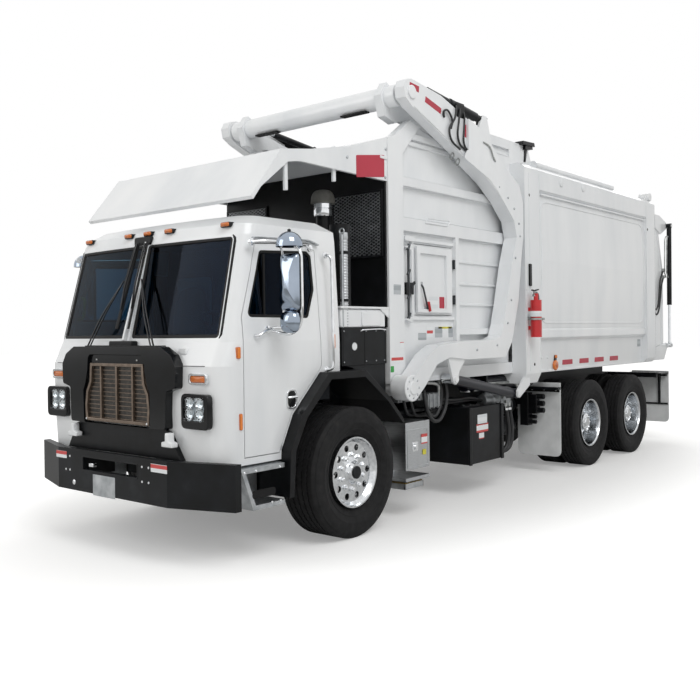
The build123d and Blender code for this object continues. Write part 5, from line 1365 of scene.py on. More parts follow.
tape_lines = [((0.84, 3.878), (0.985, 3.866)), ((1.085, 3.8), (1.345, 3.738)),
              ((2.075, 3.508), (2.33, 3.4))]
tape = [side_plate(slanted(start, end, 0.056), BOX_X - 0.001, BOX_X + 0.0012) for start, end in tape_lines]
tape.append(side_plate(slanted((1.785, 3.565), (1.785, 3.69), 0.04), BOX_X - 0.001, BOX_X + 0.0012))
put("arm_tape", both(*tape), plain_red, "lift_arms")
edge_places = [(2.374, 3.15), (2.56, 3.06), (2.69, 2.96), (2.79, 2.81), (2.815, 2.68), (2.705, 2.441),
               (2.605, 1.995), (2.525, 1.754), (2.3, 1.53), (1.9, 1.49)]
put("arm_bolts", both(bolts([(ARM_X, y, z) for y, z in edge_places], "x", 0.014, 0.009)), mill_aluminium,
    "lift_arms")
made("tape and bolts")

# %% Pivot hubs, joint plates, ears and weld beads
pivot_hub = spun([(-0.004, 0.12), (0.012, 0.12), (0.018, 0.112), (0.018, 0.06), (0.03, 0.056),
                  (0.03, 0.001)], (ARM_X - 0.002, 0.78, 1.18), "x", 48)
hub_turns = np.arange(8) * np.pi / 4
hub_bolts = bolts([(ARM_X + 0.014, 0.78 + 0.088 * np.cos(a), 1.18 + 0.088 * np.sin(a)) for a in hub_turns],
                  "x", 0.011, 0.008)
tip_hub = spun([(-0.004, 0.062), (0.01, 0.062), (0.014, 0.056), (0.014, 0.001)], (BOX_X, 0.87, 3.82), "x",
               40)
put("arm_pivot_hubs", both(pivot_hub, tip_hub), white_paint, "lift_arms", bevel=0.002)
put("arm_pivot_bolts", both(hub_bolts), mill_aluminium, "lift_arms")
joint_plate = side_plate(rounded([(1.69, 3.35), (1.86, 3.3), (2.18, 3.2), (2.42, 3.05), (2.48, 3.12),
                                  (2.3, 3.3), (2.05, 3.42), (1.76, 3.44)], 0.03), ARM_X - 0.002,
                         ARM_X + 0.006)
put("arm_joint_plates", both(joint_plate), white_paint, "lift_arms", bevel=0.002)
valve_ear = side_plate(rounded([(2.02, 3.64), (2.3, 3.48), (2.3, 3.6), (2.21, 3.85), (2.13, 3.85)], 0.02),
                       1.15, 1.18)
put("arm_ears", both(valve_ear), white_paint, "lift_arms", bevel=0.003)
bead = carried(bent_path([(BOX_X + 0.001, y, z) for y, z in ((0.9, 3.7), (1.79, 3.372), (2.15, 3.25))],
                         0.1), circle(0.006, 8))
put("arm_welds", both(bead), white_paint, "lift_arms")
made("arm fittings")

# %% Guard, valve and hoses over the upper box
guard = joined(tube([(1.14, 1.18, 3.905), (1.14, 2.18, 3.806)], 0.036, 0, 24),
               tube([(1.14, 1.56, 3.867), (1.14, 2.04, 3.82)], 0.045, 0, 24),
               block((1.104, 1.176), (2.12, 2.23), (3.76, 3.84)))
put("fork_hose_guard", both(guard), black_enamel, "lift_arms", bevel=0.003)
guard_stays = [side_plate([(y - 0.02, z - 0.1), (y + 0.02, z - 0.11), (y + 0.02, z), (y - 0.02, z)], 1.126,
                          1.154) for y, z in ((1.24, 3.89), (1.48, 3.87))]
put("fork_hose_guard_stays", both(*guard_stays), white_paint, "lift_arms", bevel=0.002)
valve = joined(block((1.08, 1.196), (1.62, 1.76), (3.74, 3.87)),
               block((1.1, 1.18), (1.6, 1.78), (3.85, 3.89)))
put("fork_valve", both(valve), black_enamel, "lift_arms", bevel=0.006)
fittings = [disc(-0.02, 0.02, 0.017, (1.15, y, z), "x", 6)
            for y, z in ((1.64, 3.85), (1.7, 3.838), (1.745, 3.82))]
put("fork_valve_fittings", both(*fittings), zinc_fitting, "lift_arms")
arm_routes = [
    [(1.15, 1.64, 3.85), (1.205, 1.6, 3.84), (1.212, 1.56, 3.7), (1.212, 1.44, 3.6), (1.206, 1.49, 3.48),
     (1.2, 1.66, 3.43)],
    [(1.15, 1.7, 3.838), (1.208, 1.66, 3.82), (1.214, 1.62, 3.68), (1.214, 1.59, 3.56), (1.206, 1.64, 3.47),
     (1.2, 1.76, 3.44)],
    [(1.15, 1.745, 3.82), (1.208, 1.74, 3.79), (1.212, 1.72, 3.64), (1.212, 1.7, 3.52), (1.206, 1.74, 3.46),
     (1.2, 1.82, 3.43)],
    [(1.196, 1.39, 3.69), (1.212, 1.35, 3.74), (1.212, 1.43, 3.77), (1.212, 1.52, 3.68), (1.2, 1.5, 3.6)],
]
put("fork_hoses", both(*(tube(route, 0.01, 0.1, 12) for route in arm_routes)), hydraulic_hose, "lift_arms")
side_route = [(ARM_X + 0.004, 2.06, 3.56), (ARM_X + 0.012, 2.18, 3.54), (ARM_X + 0.012, 2.24, 3.44),
              (ARM_X + 0.004, 2.3, 3.4)]
put("arm_side_hose", both(tube(side_route, 0.007, 0.08, 10)), zinc_fitting, "lift_arms")
rings = [carried([place_of((1.12 + 0.01 * np.sin(a), y + 0.03 * np.cos(a), z + 0.03 * np.sin(a)))
                  for a in np.linspace(0, 2 * np.pi, 25)[:-1]], circle(0.006, 8), closed=True)
         for y, z in ((1.64, 3.37), (1.74, 3.33))]
put("arm_tie_rings", both(*rings), zinc_fitting, "lift_arms")
made("arm hoses")

# %% [markdown]
# ## Forks and their shaft
#
# The fork shaft turns in collars at the arm tips, and rubber pads sit under it where bins
# land. The collars are turned rings, one on each side, and the pads are flat strips.

# %% Fork collars and pads
collar = [(-0.03, 0.09), (-0.03, 0.104), (-0.022, 0.11), (0.022, 0.11), (0.03, 0.104), (0.03, 0.09)]
put("fork_collars", both(spun(collar, (0.9, 0.87, 3.82), "x", 40)), white_paint, "forks")
pad = block((0.42, 0.72), (0.79, 0.86), (3.71, 3.726))
put("fork_pads", both(pad), seal_rubber, "forks", bevel=0.003)
made("fork pieces")

# %% [markdown]
# ## Load body
#
# The body's side is one large curved sheet framed by a rail above, a rub rail below and a
# post at each end. Its panel is pressed with soft round corners, so the frame's inner edge is
# an arc rather than a square corner. The skin bows outwards; every strip on it takes its x
# from the skin's own section, so it lies on the sheet.

# %% Strips that follow the curved skin
skin_z = np.array([1.2, 1.56, 1.7, 2.45, 3.2, 3.23, 3.44])
skin_x = np.array([1.13, 1.15, 1.184, 1.211, 1.184, 1.219, 1.219])


def skin_at(z):
    """The skin's x at a height, read off its section."""
    return np.interp(z, skin_z, skin_x)


def on_skin(outer, inner, thick=0.006, sink=0.004):
    """A closed strip between two (y, z) rings laid on the skin: each point's x is the skin's own."""
    outer, inner = np.asarray(outer, float), np.asarray(inner, float)
    rings = []
    for ring, lift in ((outer, -sink), (outer, thick), (inner, thick), (inner, -sink)):
        rings.append(np.column_stack([skin_at(ring[:, 1]) + lift, along(ring[:, 0]), ring[:, 1]]))
    return grid(np.stack(rings, 0), wrap_rows=True)


def finely(outline, step=0.05):
    """The same closed outline with points a step apart."""
    flat = np.asarray(outline, float)
    return evenly(np.column_stack([flat, np.zeros(len(flat))]), step)[:, :2]


panel_corner = finely(rounded([(3.33, 1.745), (6.455, 1.745), (6.455, 3.13), (3.33, 3.13)], 0.16, 8))
centre = np.array([4.8925, 2.4375])
panel_inner = centre + (panel_corner - centre) * np.array([0.985, 0.968])
put("body_panel_edge", both(on_skin(panel_corner, panel_inner, 0.007)), white_paint, bevel=0.003)
rail_lip = side_plate([(3.33, 3.176), (6.48, 3.176), (6.48, 3.196), (3.33, 3.196)], 1.17, 1.214)
put("body_upper_rail_lip", both(rail_lip), white_paint, bevel=0.004)
rub_outer = [(1.176, 1.7), (1.196, 1.68), (1.196, 1.59), (1.158, 1.556), (1.14, 1.556), (1.14, 1.7)]
rub_rail = prism(rub_outer, along(3.27), along(6.51), "y")
put("body_rub_rail", both(rub_rail), white_paint, bevel=0.006)
bottom_lip = prism([(1.118, 1.196), (1.142, 1.196), (1.142, 1.222), (1.118, 1.222)], along(3.28),
                   along(6.838), "y")
put("body_bottom_lip", both(bottom_lip), white_paint, bevel=0.003)
seam = side_plate([(6.834, 1.3), (6.842, 1.3), (6.842, 3.44), (6.834, 3.44)], 1.206, 1.2185)
put("body_rear_seam", both(seam), seal_rubber)
pillar_lines = [bar([(1.2195, y, 1.23), (1.2195, y, 3.4)], circle(0.004, 8)) for y in (3.02, 3.268, 6.512)]
put("pillar_welds", both(*pillar_lines), white_paint)
made("body strips")

# %% Reflectors, marker lamp, studs, tie points and plain labels
REFLECTOR_Z = 1.29
reflector_places = [(3.985, 4.259), (4.46, 4.725), (4.91, 5.19), (5.39, 5.66)]
strips = [side_plate(rectangle(((y0 + y1) / 2, REFLECTOR_Z), y1 - y0, 0.058, 0.006),
                     skin_at(REFLECTOR_Z) - 0.004, skin_at(REFLECTOR_Z) + 0.003)
          for y0, y1 in reflector_places]
put("body_reflectors", both(*strips), plain_red, bevel=0.001)
marker_base = side_plate(rectangle((3.785, 1.3), 0.06, 0.16, 0.01), skin_at(1.3) - 0.004,
                         skin_at(1.3) + 0.012)
marker_stud = side_plate(rectangle((3.785, 1.365), 0.048, 0.036, 0.008), skin_at(1.36),
                         skin_at(1.36) + 0.02)
put("body_marker_bases", both(marker_base), black_moulding, bevel=0.004)
marker_lens = spun([(0.0, 0.062), (0.012, 0.06), (0.022, 0.048), (0.026, 0.001)],
                   (skin_at(1.27) + 0.004, 3.785, 1.265), "x", 32)
put("body_marker_lenses", both(marker_lens, marker_stud), amber_lens, bevel=0.003)
studs = [(float(skin_at(1.36)), y, 1.36) for y in (3.33, 3.45, 3.59)]
put("body_studs", both(bolts(studs, "x", 0.016, 0.008, 12)), white_paint)
holes = [(1.2185, y, z) for y, z in ((3.03, 3.143), (6.56, 3.06), (3.12, 1.3))]
# Black discs that paint the shade inside the tie holes.
put("body_tie_hole_shade", both(*(disc(-0.002, 0.0015, 0.017, p, "x", 20) for p in holes)), seal_rubber)
discs = [spun([(-0.004, 0.048), (0.008, 0.048), (0.012, 0.04), (0.012, 0.001)], (1.219, y, z), "x", 32)
         for y, z in ((3.822, 3.372), (4.425, 3.386))]
put("body_lifting_discs", both(*discs), white_paint, bevel=0.002)
tube_stays = [block((1.04, 1.1), (y - 0.02, y + 0.02), (3.43, 3.56)) for y in (3.6, 4.25, 4.9, 5.5)]
put("roof_tube_stays", joined(*tube_stays), white_paint, bevel=0.004)
panel_labels("body_label", grey_label, [(6.385, 1.485, 0.11, 0.12)], float(skin_at(1.485)) + 0.001)
made("body fittings")

# %% Fire extinguisher: neck, lever, hose, band and holder
EXT = (1.291, 3.0)
neck = spun([(2.04, 0.001), (2.04, 0.03), (2.062, 0.026), (2.07, 0.02), (2.09, 0.02), (2.092, 0.001)],
            (*EXT, 0.0), "z", 24)
gauge = spun([(0.0, 0.014), (0.012, 0.014), (0.014, 0.001)], (EXT[0] + 0.018, EXT[1], 2.074), "x", 16)
put("extinguisher_neck", [neck, gauge], zinc_fitting)
lever = side_plate(rounded([(2.93, 2.1), (2.985, 2.092), (3.08, 2.11), (3.08, 2.122), (2.985, 2.108),
                            (2.93, 2.112)], 0.004, 2), EXT[0] - 0.01, EXT[0] + 0.01)
put("extinguisher_lever", lever, black_enamel, bevel=0.002)
hose_route = [(EXT[0], 3.016, 2.08), (EXT[0] + 0.01, 3.06, 2.07), (EXT[0] + 0.006, 3.078, 1.96),
              (EXT[0], 3.074, 1.76), (EXT[0], 3.072, 1.7)]
put("extinguisher_hose", tube(hose_route, 0.009, 0.05, 12), hydraulic_hose)
label_band = disc(-0.03, 0.03, 0.0735, (*EXT, 1.85), "z", 48, bore=0.0722)
put("extinguisher_label", label_band, white_label)
strap = disc(-0.01, 0.01, 0.078, (*EXT, 1.795), "z", 48, bore=0.072)
strap_clip = block((EXT[0] + 0.03, EXT[0] + 0.084), (3.02, 3.06), (1.782, 1.808))
put("extinguisher_strap", [strap, strap_clip], zinc_fitting, bevel=0.002)
back_plate = block((1.214, 1.224), (2.95, 3.05), (1.56, 2.09))
put("extinguisher_back_plate", back_plate, white_paint, bevel=0.002)
pull_grip = side_plate(rectangle((3.025, 2.275), 0.052, 0.24, 0.01), 1.215, 1.236)
put("extinguisher_cover", pull_grip, black_moulding, bevel=0.005)
made("extinguisher pieces")

# %% [markdown]
# ## Tailgate
#
# The tailgate hangs from two hinges on the roof and is held shut by a cylinder on each side.
# Its hoses droop along the gate's side and end at the cylinder's foot, so they ride with the
# gate. Lamps and a bare plate place sit on its back, where every such truck has them.

# %% Cylinder lines and hoses
black_line = [(1.184, 7.49, 3.04), (1.184, 7.44, 3.0), (1.184, 7.415, 2.5), (1.184, 7.48, 2.43)]
put("tail_steel_lines", both(tube(black_line, 0.008, 0.03),
                             moved(tube(black_line, 0.008, 0.03), (-0.03, 0, 0))), zinc_fitting,
    "tail_barrels")
gate_hoses = [tube([(1.15, y, z) for y, z in route], 0.012, 0.1, 12) for route in (
    [(6.86, 2.09), (6.92, 2.06), (6.98, 1.98), (7.06, 1.93), (7.15, 2.0), (7.2, 2.2), (7.24, 2.38),
     (7.33, 2.48), (7.4, 2.54)],
    [(6.86, 2.03), (6.93, 1.99), (7.0, 1.9), (7.09, 1.86), (7.19, 1.94), (7.25, 2.14), (7.29, 2.3),
     (7.36, 2.4), (7.4, 2.44)])]
put("tail_hoses", both(*gate_hoses), hydraulic_hose, "tailgate")
hose_fittings = [block((1.118, 1.166), (y - 0.03, y + 0.03), (z - 0.022, z + 0.022))
                 for y, z in ((6.88, 2.088), (6.88, 2.028), (7.39, 2.535), (7.39, 2.436))]
put("tail_hose_fittings", both(*hose_fittings), zinc_fitting, "tailgate", bevel=0.004)
made("lines and hoses")

# %% Tail lamps, bare plate place, side frame and hinge caps
back_x = np.array([0.86, 0.99])
lamp_backs = [prism(rectangle((x, 1.42), 0.11, 0.11, 0.02), along(7.436), along(7.452), "y")
              for x in back_x]
lamp_bodies = [spun([(0.0, 0.048), (0.016, 0.047), (0.022, 0.036), (0.024, 0.001)], (x, 7.451, 1.42), "y",
                    32) for x in back_x]
put("tail_lamp_mounts", both(*lamp_backs), black_moulding, "tailgate", bevel=0.003)
put("tail_lamps_red", both(lamp_bodies[1]), red_lens, "tailgate")
put("tail_lamps_amber", both(lamp_bodies[0]), amber_lens, "tailgate")
plate_place = prism(rectangle((0.0, 1.42), 0.32, 0.17, 0.012), along(7.437), along(7.446), "y")
put("tail_plate_place", plate_place, mill_aluminium, "tailgate", bevel=0.002)
side_lamp = side_plate(rectangle((7.32, 1.255), 0.15, 0.056, 0.012), 1.116, 1.134)
put("tail_side_lamps", both(side_lamp), red_lens, "tailgate", bevel=0.004)
gate_edge = np.array([(6.9, 1.3), (6.9, 3.4), (7.02, 3.4), (7.2, 3.09), (7.37, 2.54), (7.38, 1.33)])
middle = gate_edge.mean(0)
gate_inner = middle + (gate_edge - middle) * np.array([0.86, 0.94])
put("tailgate_side_frame", both(side_ring(rounded(gate_edge, 0.04), rounded(gate_inner, 0.03), 1.117,
                                          1.128)), white_paint, "tailgate", bevel=0.003)
hinge_cap = disc(-0.07, 0.07, 0.058, (1.07, 6.9, 3.56), "x", 32)
put("tail_hinge_caps", both(hinge_cap), white_paint, "tailgate", bevel=0.006)
made("tailgate pieces")

# %% [markdown]
# ## Under the body
#
# Between the front wheel and the rear pair hang the tool box, the hydraulic tank with its pump
# and the valves. They are what a viewer sees low on the side: castings, hose loops and bent
# steel pipe. Castings are turned parts and blocks with soft edges, and the hoses are tubes
# along bent paths whose ends are sunk in the fittings that hold them.

# %% Tool box: door ring, latch, labels and the marked step
BOX_SIDE = 1.13
tool_door = side_ring(rectangle((0.99, 0.62), 0.33, 0.35, 0.012, 2),
                      rectangle((0.99, 0.62), 0.306, 0.326, 0.01, 2), BOX_SIDE - 0.001, BOX_SIDE + 0.004)
put("tool_box_door", tool_door, brushed_stainless, bevel=0.001)
latch_dish = side_plate(rectangle((0.945, 0.635), 0.086, 0.086, 0.014), BOX_SIDE - 0.001, BOX_SIDE + 0.005)
latch_tee = [spun([(0.0, 0.018), (0.014, 0.016), (0.016, 0.001)], (BOX_SIDE + 0.004, 0.945, 0.635), "x",
                  24), side_plate(rectangle((0.945, 0.635), 0.014, 0.062, 0.005), BOX_SIDE + 0.012,
                                  BOX_SIDE + 0.022)]
put("tool_box_latch", [latch_dish, *latch_tee], chrome, bevel=0.002)
panel_labels("tool_box_label", red_white_label, [(1.09, 0.693, 0.095, 0.09)], BOX_SIDE + 0.004)
panel_labels("tool_box_yellow_label", yellow_coat, [(1.089, 0.573, 0.055, 0.05)], BOX_SIDE + 0.004)
STEP_Y = np.arange(0.78, 1.06, 0.028)
step_frame = [block((0.88, 1.125), (0.79, 0.802), (0.262, 0.312)),
              block((0.88, 1.125), (1.068, 1.08), (0.262, 0.312)),
              block((1.113, 1.125), (0.79, 1.08), (0.262, 0.312))]
step_posts = [block((0.9, 0.912), (y, y + 0.03), (0.262, 0.345)) for y in (0.8, 1.04)]
teeth = [side_plate([(y, 0.3), (y + 0.022, 0.3), (y + 0.015, 0.322), (y + 0.007, 0.322)], 0.9, 1.12)
         for y in STEP_Y + 0.022]
put("tool_box_step", [*step_frame, *step_posts], mill_aluminium, bevel=0.002)
put("tool_box_step_teeth", teeth, tread_steel)
made("tool box pieces")

# %% Hydraulic tank: lid, filler, sight glass, labels and straps
TANK_X = 1.08
panel_labels("tank_label_top", white_label, [(2.225, 0.77, 0.19, 0.1)], TANK_X)
panel_labels("tank_label_middle", red_white_label, [(2.225, 0.683, 0.23, 0.086)], TANK_X)
panel_labels("tank_label_low", red_white_label, [(2.206, 0.603, 0.1, 0.062)], TANK_X)
lid = block((0.62, 1.0), (2.01, 2.32), (0.896, 0.914))
lid_bolts = bolts([(x, y, 0.913) for x in (0.645, 0.975) for y in (2.035, 2.165, 2.295)], "z", 0.01, 0.007)
filler = spun([(0.9, 0.052), (0.95, 0.052), (0.952, 0.062), (0.985, 0.06), (0.99, 0.001)], (0.8, 2.12, 0.0),
              "z", 32)
put("hydraulic_tank_lid", [lid, filler], black_enamel, bevel=0.004)
put("hydraulic_tank_bolts", lid_bolts, zinc_fitting)
corner = [side_plate([(y - 0.004, 0.345), (y + 0.004, 0.345), (y + 0.004, 0.885), (y - 0.004, 0.885)],
                     TANK_X - 0.001, TANK_X + 0.003) for y in (2.02, 2.59)]
put("hydraulic_tank_seams", corner, black_enamel)
left_strap = [block((0.545, 1.092), (y - 0.025, y + 0.025), (0.892, 0.904)) for y in (1.985, 2.625)]
left_strap += [block((1.078, 1.092), (y - 0.025, y + 0.025), (0.322, 0.9)) for y in (1.985, 2.625)]
put("hydraulic_tank_straps", left_strap, black_enamel, bevel=0.003)
made("hydraulic tank pieces")

# %% Fuel tank: straps, brackets that reach it, and its cap
fuel_centre, fuel_radius = (-0.83, 0.6), 0.29
strap_turn = np.linspace(-0.15 * np.pi, 1.25 * np.pi, 40)
fuel_straps = [carried([place_of((fuel_centre[0] + (fuel_radius + 0.003) * np.cos(a), y,
                                  fuel_centre[1] + (fuel_radius + 0.003) * np.sin(a))) for a in strap_turn],
                       [(-0.025, -0.004), (0.025, -0.004), (0.025, 0.004), (-0.025, 0.004)])
               for y in (1.56, 2.14)]
fuel_brackets = [prism([(-0.44, 0.88), (-0.44, 0.56), (-0.545, 0.52), (-0.56, 0.64), (-0.6, 0.78),
                        (-0.62, 0.83), (-0.6, 0.86)], along(y - 0.02), along(y + 0.02), "y")
                 for y in (1.56, 2.14)]
fuel_cap = turned(spun([(-0.02, 0.046), (0.03, 0.046), (0.034, 0.04), (0.034, 0.001)], (-0.83, 1.43, 0.888),
                       "z", 24), (0, 1, 0), -0.4, place_of((-0.83, 1.43, 0.6)))
put("fuel_tank_straps", fuel_straps, brushed_stainless)
put("fuel_tank_brackets", fuel_brackets, black_enamel, bevel=0.004)
put("fuel_tank_cap", fuel_cap, chrome)
made("fuel tank pieces")

# %% Pump, its mount, fittings and suction hoses
PUMP_X = 0.98
pump = [spun([(-0.16, 0.001), (-0.16, 0.06), (-0.13, 0.07), (-0.04, 0.07), (-0.03, 0.085), (0.01, 0.085),
              (0.02, 0.07), (0.12, 0.066), (0.15, 0.05), (0.17, 0.05), (0.172, 0.001)],
             (PUMP_X - 0.02, 2.58, 0.945), "y", 32), spun([(0.0, 0.04), (0.075, 0.04), (0.078, 0.03),
                                                           (0.078, 0.001)], (PUMP_X - 0.02, 2.52, 0.985),
                                                          "z", 24), block((PUMP_X - 0.075, PUMP_X + 0.035),
                                                                          (2.73, 2.85), (0.88, 0.985)),
        block((PUMP_X - 0.06, PUMP_X + 0.02), (2.84, 2.98), (0.85, 0.935))]
put("pump_castings", pump, cast_pump, bevel=0.006)
pump_mount = block((0.56, PUMP_X), (2.44, 2.66), (0.896, 0.925))
put("pump_mount", pump_mount, black_enamel, bevel=0.004)
collars = [disc(-0.03, 0.03, 0.024, (PUMP_X + 0.01, y, z), "z", 6)
           for y, z in ((2.87, 0.855), (2.945, 0.855))]
side_ports = bolts([(PUMP_X + 0.034, y, z) for y, z in ((2.755, 0.955), (2.82, 0.905))], "x", 0.016, 0.022)
put("pump_fittings", [*collars, side_ports], zinc_fitting)
suction = [tube([(PUMP_X + 0.01, y, 0.85), (PUMP_X + 0.01, y + 0.08, 0.6), (PUMP_X, y + 0.05, 0.38),
                 (PUMP_X - 0.04, y - 0.13, 0.345), (PUMP_X - 0.1, 2.64, 0.36)], 0.024, 0.16, 16)
           for y in (2.87, 2.945)]
put("pump_hoses", suction, hydraulic_hose)
bands = [disc(-0.012, 0.012, 0.028, (PUMP_X + 0.01, y, 0.82), "z", 20, bore=0.024) for y in (2.88, 2.955)]
put("pump_hose_clamps", bands, chrome)
made("pump pieces")

# %% Valve blocks, spools and their shelf
valves = [block((0.86, 1.01), (0.86 + 0.105 * k, 0.95 + 0.105 * k), (1.03, 1.17)) for k in range(4)]
spools = [spun([(-0.04, 0.02), (0.04, 0.02), (0.045, 0.014), (0.045, 0.001)],
               (1.012, 0.905 + 0.105 * k, 1.12), "x", 16) for k in range(4)]
rear_valve = block((0.86, 1.02), (1.33, 1.54), (0.95, 1.08))
rear_flanges = [block((0.85, 1.03), (1.345 + 0.07 * k, 1.36 + 0.07 * k), (0.94, 1.09)) for k in range(3)]
put("valve_blocks", [*valves, rear_valve, *rear_flanges], cast_pump, bevel=0.006)
put("valve_spools", spools, black_enamel)
valve_bolts = bolts([(1.011, 0.885 + 0.105 * k, 1.06) for k in range(4)], "x", 0.012, 0.014)
put("valve_bolts", valve_bolts, zinc_fitting)
valve_shelf = block((0.43, 1.0), (0.84, 1.56), (0.925, 0.952))
valve_hanger = [block((0.43, 0.86), (y, y + 0.03), (0.952, 1.215)) for y in (0.85, 1.29)]
put("valve_shelf", [valve_shelf, *valve_hanger], black_enamel, bevel=0.004)
made("valve pieces")

# %% Hose loops and steel pipes under the hopper
big_loop = [
    [(1.02, 1.612, 1.22), (1.04, 1.63, 1.08), (1.04, 1.6, 0.93), (1.04, 1.5, 0.82), (1.04, 1.39, 0.815),
     (1.04, 1.29, 0.9),
     (1.035, 1.262, 1.01), (1.01, 1.27, 1.11)],
    [(0.99, 1.56, 1.22), (1.01, 1.575, 1.09), (1.01, 1.56, 0.96), (1.01, 1.48, 0.865), (1.01, 1.4, 0.86),
     (1.01, 1.32, 0.93),
     (1.01, 1.3, 1.02), (0.99, 1.3, 1.07)],
]
put("valve_hose_loops", [tube(route, 0.019, 0.12, 16) for route in big_loop], hydraulic_hose)
cuffs = [disc(-0.04, 0.03, 0.024, (x, y, 1.205), "z", 8) for x, y in ((1.02, 1.612), (0.99, 1.56))]
put("valve_hose_cuffs", cuffs, zinc_fitting)
small_hoses = [
    [(1.01, 0.905, 1.1), (1.042, 0.9, 1.06), (1.04, 0.93, 0.96), (0.98, 1.06, 0.9), (0.9, 1.4, 0.88),
     (0.82, 1.9, 0.9), (0.78, 2.06, 0.95)],
    [(1.01, 1.01, 1.1), (1.04, 1.01, 1.05), (1.036, 1.05, 0.95), (0.96, 1.2, 0.88), (0.88, 1.6, 0.86),
     (0.76, 2.0, 0.9)],
    [(0.94, 1.54, 1.02), (0.95, 1.64, 1.01), (0.95, 1.9, 0.98), (0.96, 2.2, 0.99), (0.96, 2.43, 0.945)],
    [(0.9, 1.54, 0.99), (0.905, 1.7, 0.96), (0.9, 2.0, 0.95), (0.93, 2.3, 0.96), (0.95, 2.44, 0.93)],
    [(0.94, 2.96, 0.9), (0.94, 3.08, 0.92), (0.9, 3.3, 0.96), (0.7, 3.6, 0.98), (0.46, 3.8, 0.96)],
]
put("under_hoses", [tube(route, 0.014, 0.12, 12) for route in small_hoses], hydraulic_hose)
pipes = [
    [(1.02, 1.17, 1.235), (1.04, 1.19, 1.2), (1.04, 1.42, 1.18), (1.03, 1.5, 1.15), (1.0, 1.53, 1.05)],
    [(0.96, 2.25, 1.123), (1.0, 2.33, 1.123), (1.0, 3.06, 1.106), (1.0, 3.13, 1.06), (1.0, 3.17, 0.98),
     (0.9, 3.19, 0.96)],
    [(0.96, 2.25, 1.06), (0.98, 2.33, 1.06), (0.98, 2.96, 1.05), (0.98, 3.03, 1.01), (0.94, 3.06, 0.94)],
]
put("under_pipes", [tube(route, 0.017, 0.06, 16) for route in pipes], zinc_fitting)
pipe_stays = [block((0.96, 1.02), (y, y + 0.03), (1.09, 1.215)) for y in (2.42, 2.94)]
put("under_pipe_stays", pipe_stays, black_enamel, bevel=0.002)
made("hoses and pipes")

# %% The packer's barrels and lugs
PACKER_BARREL = (0.9, 1.12)
barrel = spun([(2.15, 0.001), (2.15, 0.07), (2.2, 0.082), (3.5, 0.082), (3.505, 0.094), (3.56, 0.094),
               (3.562, 0.001)], (PACKER_BARREL[0], 0.0, PACKER_BARREL[1]), "y", 40)
put("packer_barrel", both(barrel), black_enamel_painted_sky)
barrel_ends = [block((0.85, 0.95), (y, y + 0.04), (1.04, 1.23)) for y in (2.17, 3.38)]
put("packer_barrel_lugs", both(*barrel_ends), white_paint, bevel=0.006)
made("packer barrel pieces")

# %% Flap hangers, air tanks and brake valves
rear_post = side_plate(rounded([(7.33, 1.0), (7.41, 1.0), (7.395, 0.88), (7.392, 0.56), (7.362, 0.56),
                                (7.36, 0.88)], 0.02), 1.06, 1.09)
rear_beam = block((0.7, 1.185), (7.345, 7.405), (0.965, 0.998))
rear_bar = block((0.76, 1.19), (7.396, 7.412), (0.54, 0.566))
put("rear_flap_frame", [both(piece) for piece in (rear_post, rear_beam, rear_bar)], black_enamel,
    bevel=0.004)
front_bar = block((0.65, 1.19), (3.776, 3.792), (0.952, 1.0))
flap_bolts = bolts([(x, 3.776, 0.976) for x in (0.7, 0.85, 1.0, 1.15)], "-y", 0.012, 0.008)
put("front_flap_bar", both(front_bar), black_enamel, bevel=0.003)
put("front_flap_bolts", both(flap_bolts), zinc_fitting)
tank_profile = [(-0.3, 0.001), (-0.298, 0.05), (-0.27, 0.095), (-0.24, 0.105), (0.24, 0.105), (0.27, 0.095),
                (0.298, 0.05), (0.3, 0.001)]
air_tanks = [spun(tank_profile, (0.62, 3.35, 0.8), "y", 32),
             spun(tank_profile, (0.62, 3.35, 0.56), "y", 32)]
put("air_tanks", air_tanks, black_enamel)
tank_bands = [disc(-0.015, 0.015, 0.109, (0.62, 3.35 + d, z), "y", 32, bore=0.104) for d in (-0.16, 0.16)
              for z in (0.8, 0.56)]
tank_stays = [block((0.43, 0.56), (3.35 + d - 0.02, 3.35 + d + 0.02), (0.52, 0.86)) for d in (-0.16, 0.16)]
put("air_tank_bands", tank_bands, mill_aluminium)
put("air_tank_stays", tank_stays, black_enamel, bevel=0.004)
cluster = [block((0.76, 0.86), (3.64, 3.76), (0.56, 0.94)), block((0.86, 0.96), (3.66, 3.75), (0.7, 0.92)),
           *(spun([(-0.05, 0.001), (-0.05, 0.03), (0.05, 0.03), (0.052, 0.001)], (0.99, 3.7, z), "x", 16)
             for z in (0.74, 0.82, 0.9)), *(spun([(-0.04, 0.001), (-0.04, 0.022), (0.04, 0.022),
                                                  (0.042, 0.001)], (0.9, 3.7, z), "x", 16)
                                            for z in (0.6, 0.66))]
cluster_stay = block((0.43, 0.8), (3.66, 3.74), (0.8, 0.9))
put("brake_valves", [*cluster, cluster_stay], black_moulding, bevel=0.004)
made("flap and air pieces")

# %% Rubber flaps with round corners and moulded edges
flap_sheets = []
for y, low, high in ((3.794, 0.2, 1.06), (7.42, 0.28, 1.04)):
    corners = rounded([(0.65, low), (1.2, low), (1.2, low + 0.3), (0.65, low + 0.3)], 0.075, 8)
    outline = np.concatenate([corners[(corners[:, 1] < low + 0.15)], [(1.2, high), (0.65, high)]])
    outline = outline[np.argsort(np.arctan2(outline[:, 1] - (low + high) / 2, outline[:, 0] - 0.925))]
    flap_sheets.append(front_plate(outline, y - 0.006, y + 0.006))
put("mud_flap_sheets", both(*flap_sheets), flap_rubber, bevel=0.003, replaces=("mud_flaps",))
made("flaps")

# %% Cab step: a dark strip that paints the shade in its slot, tread slots and rivets
ACCESS_X = 1.16
tread_bars = [block((0.83, 1.15), (y, y + 0.016), (0.404, 0.424)) for y in np.arange(-1.1, -0.83, 0.04)]
put("cab_step_treads", both(*tread_bars), tread_steel)
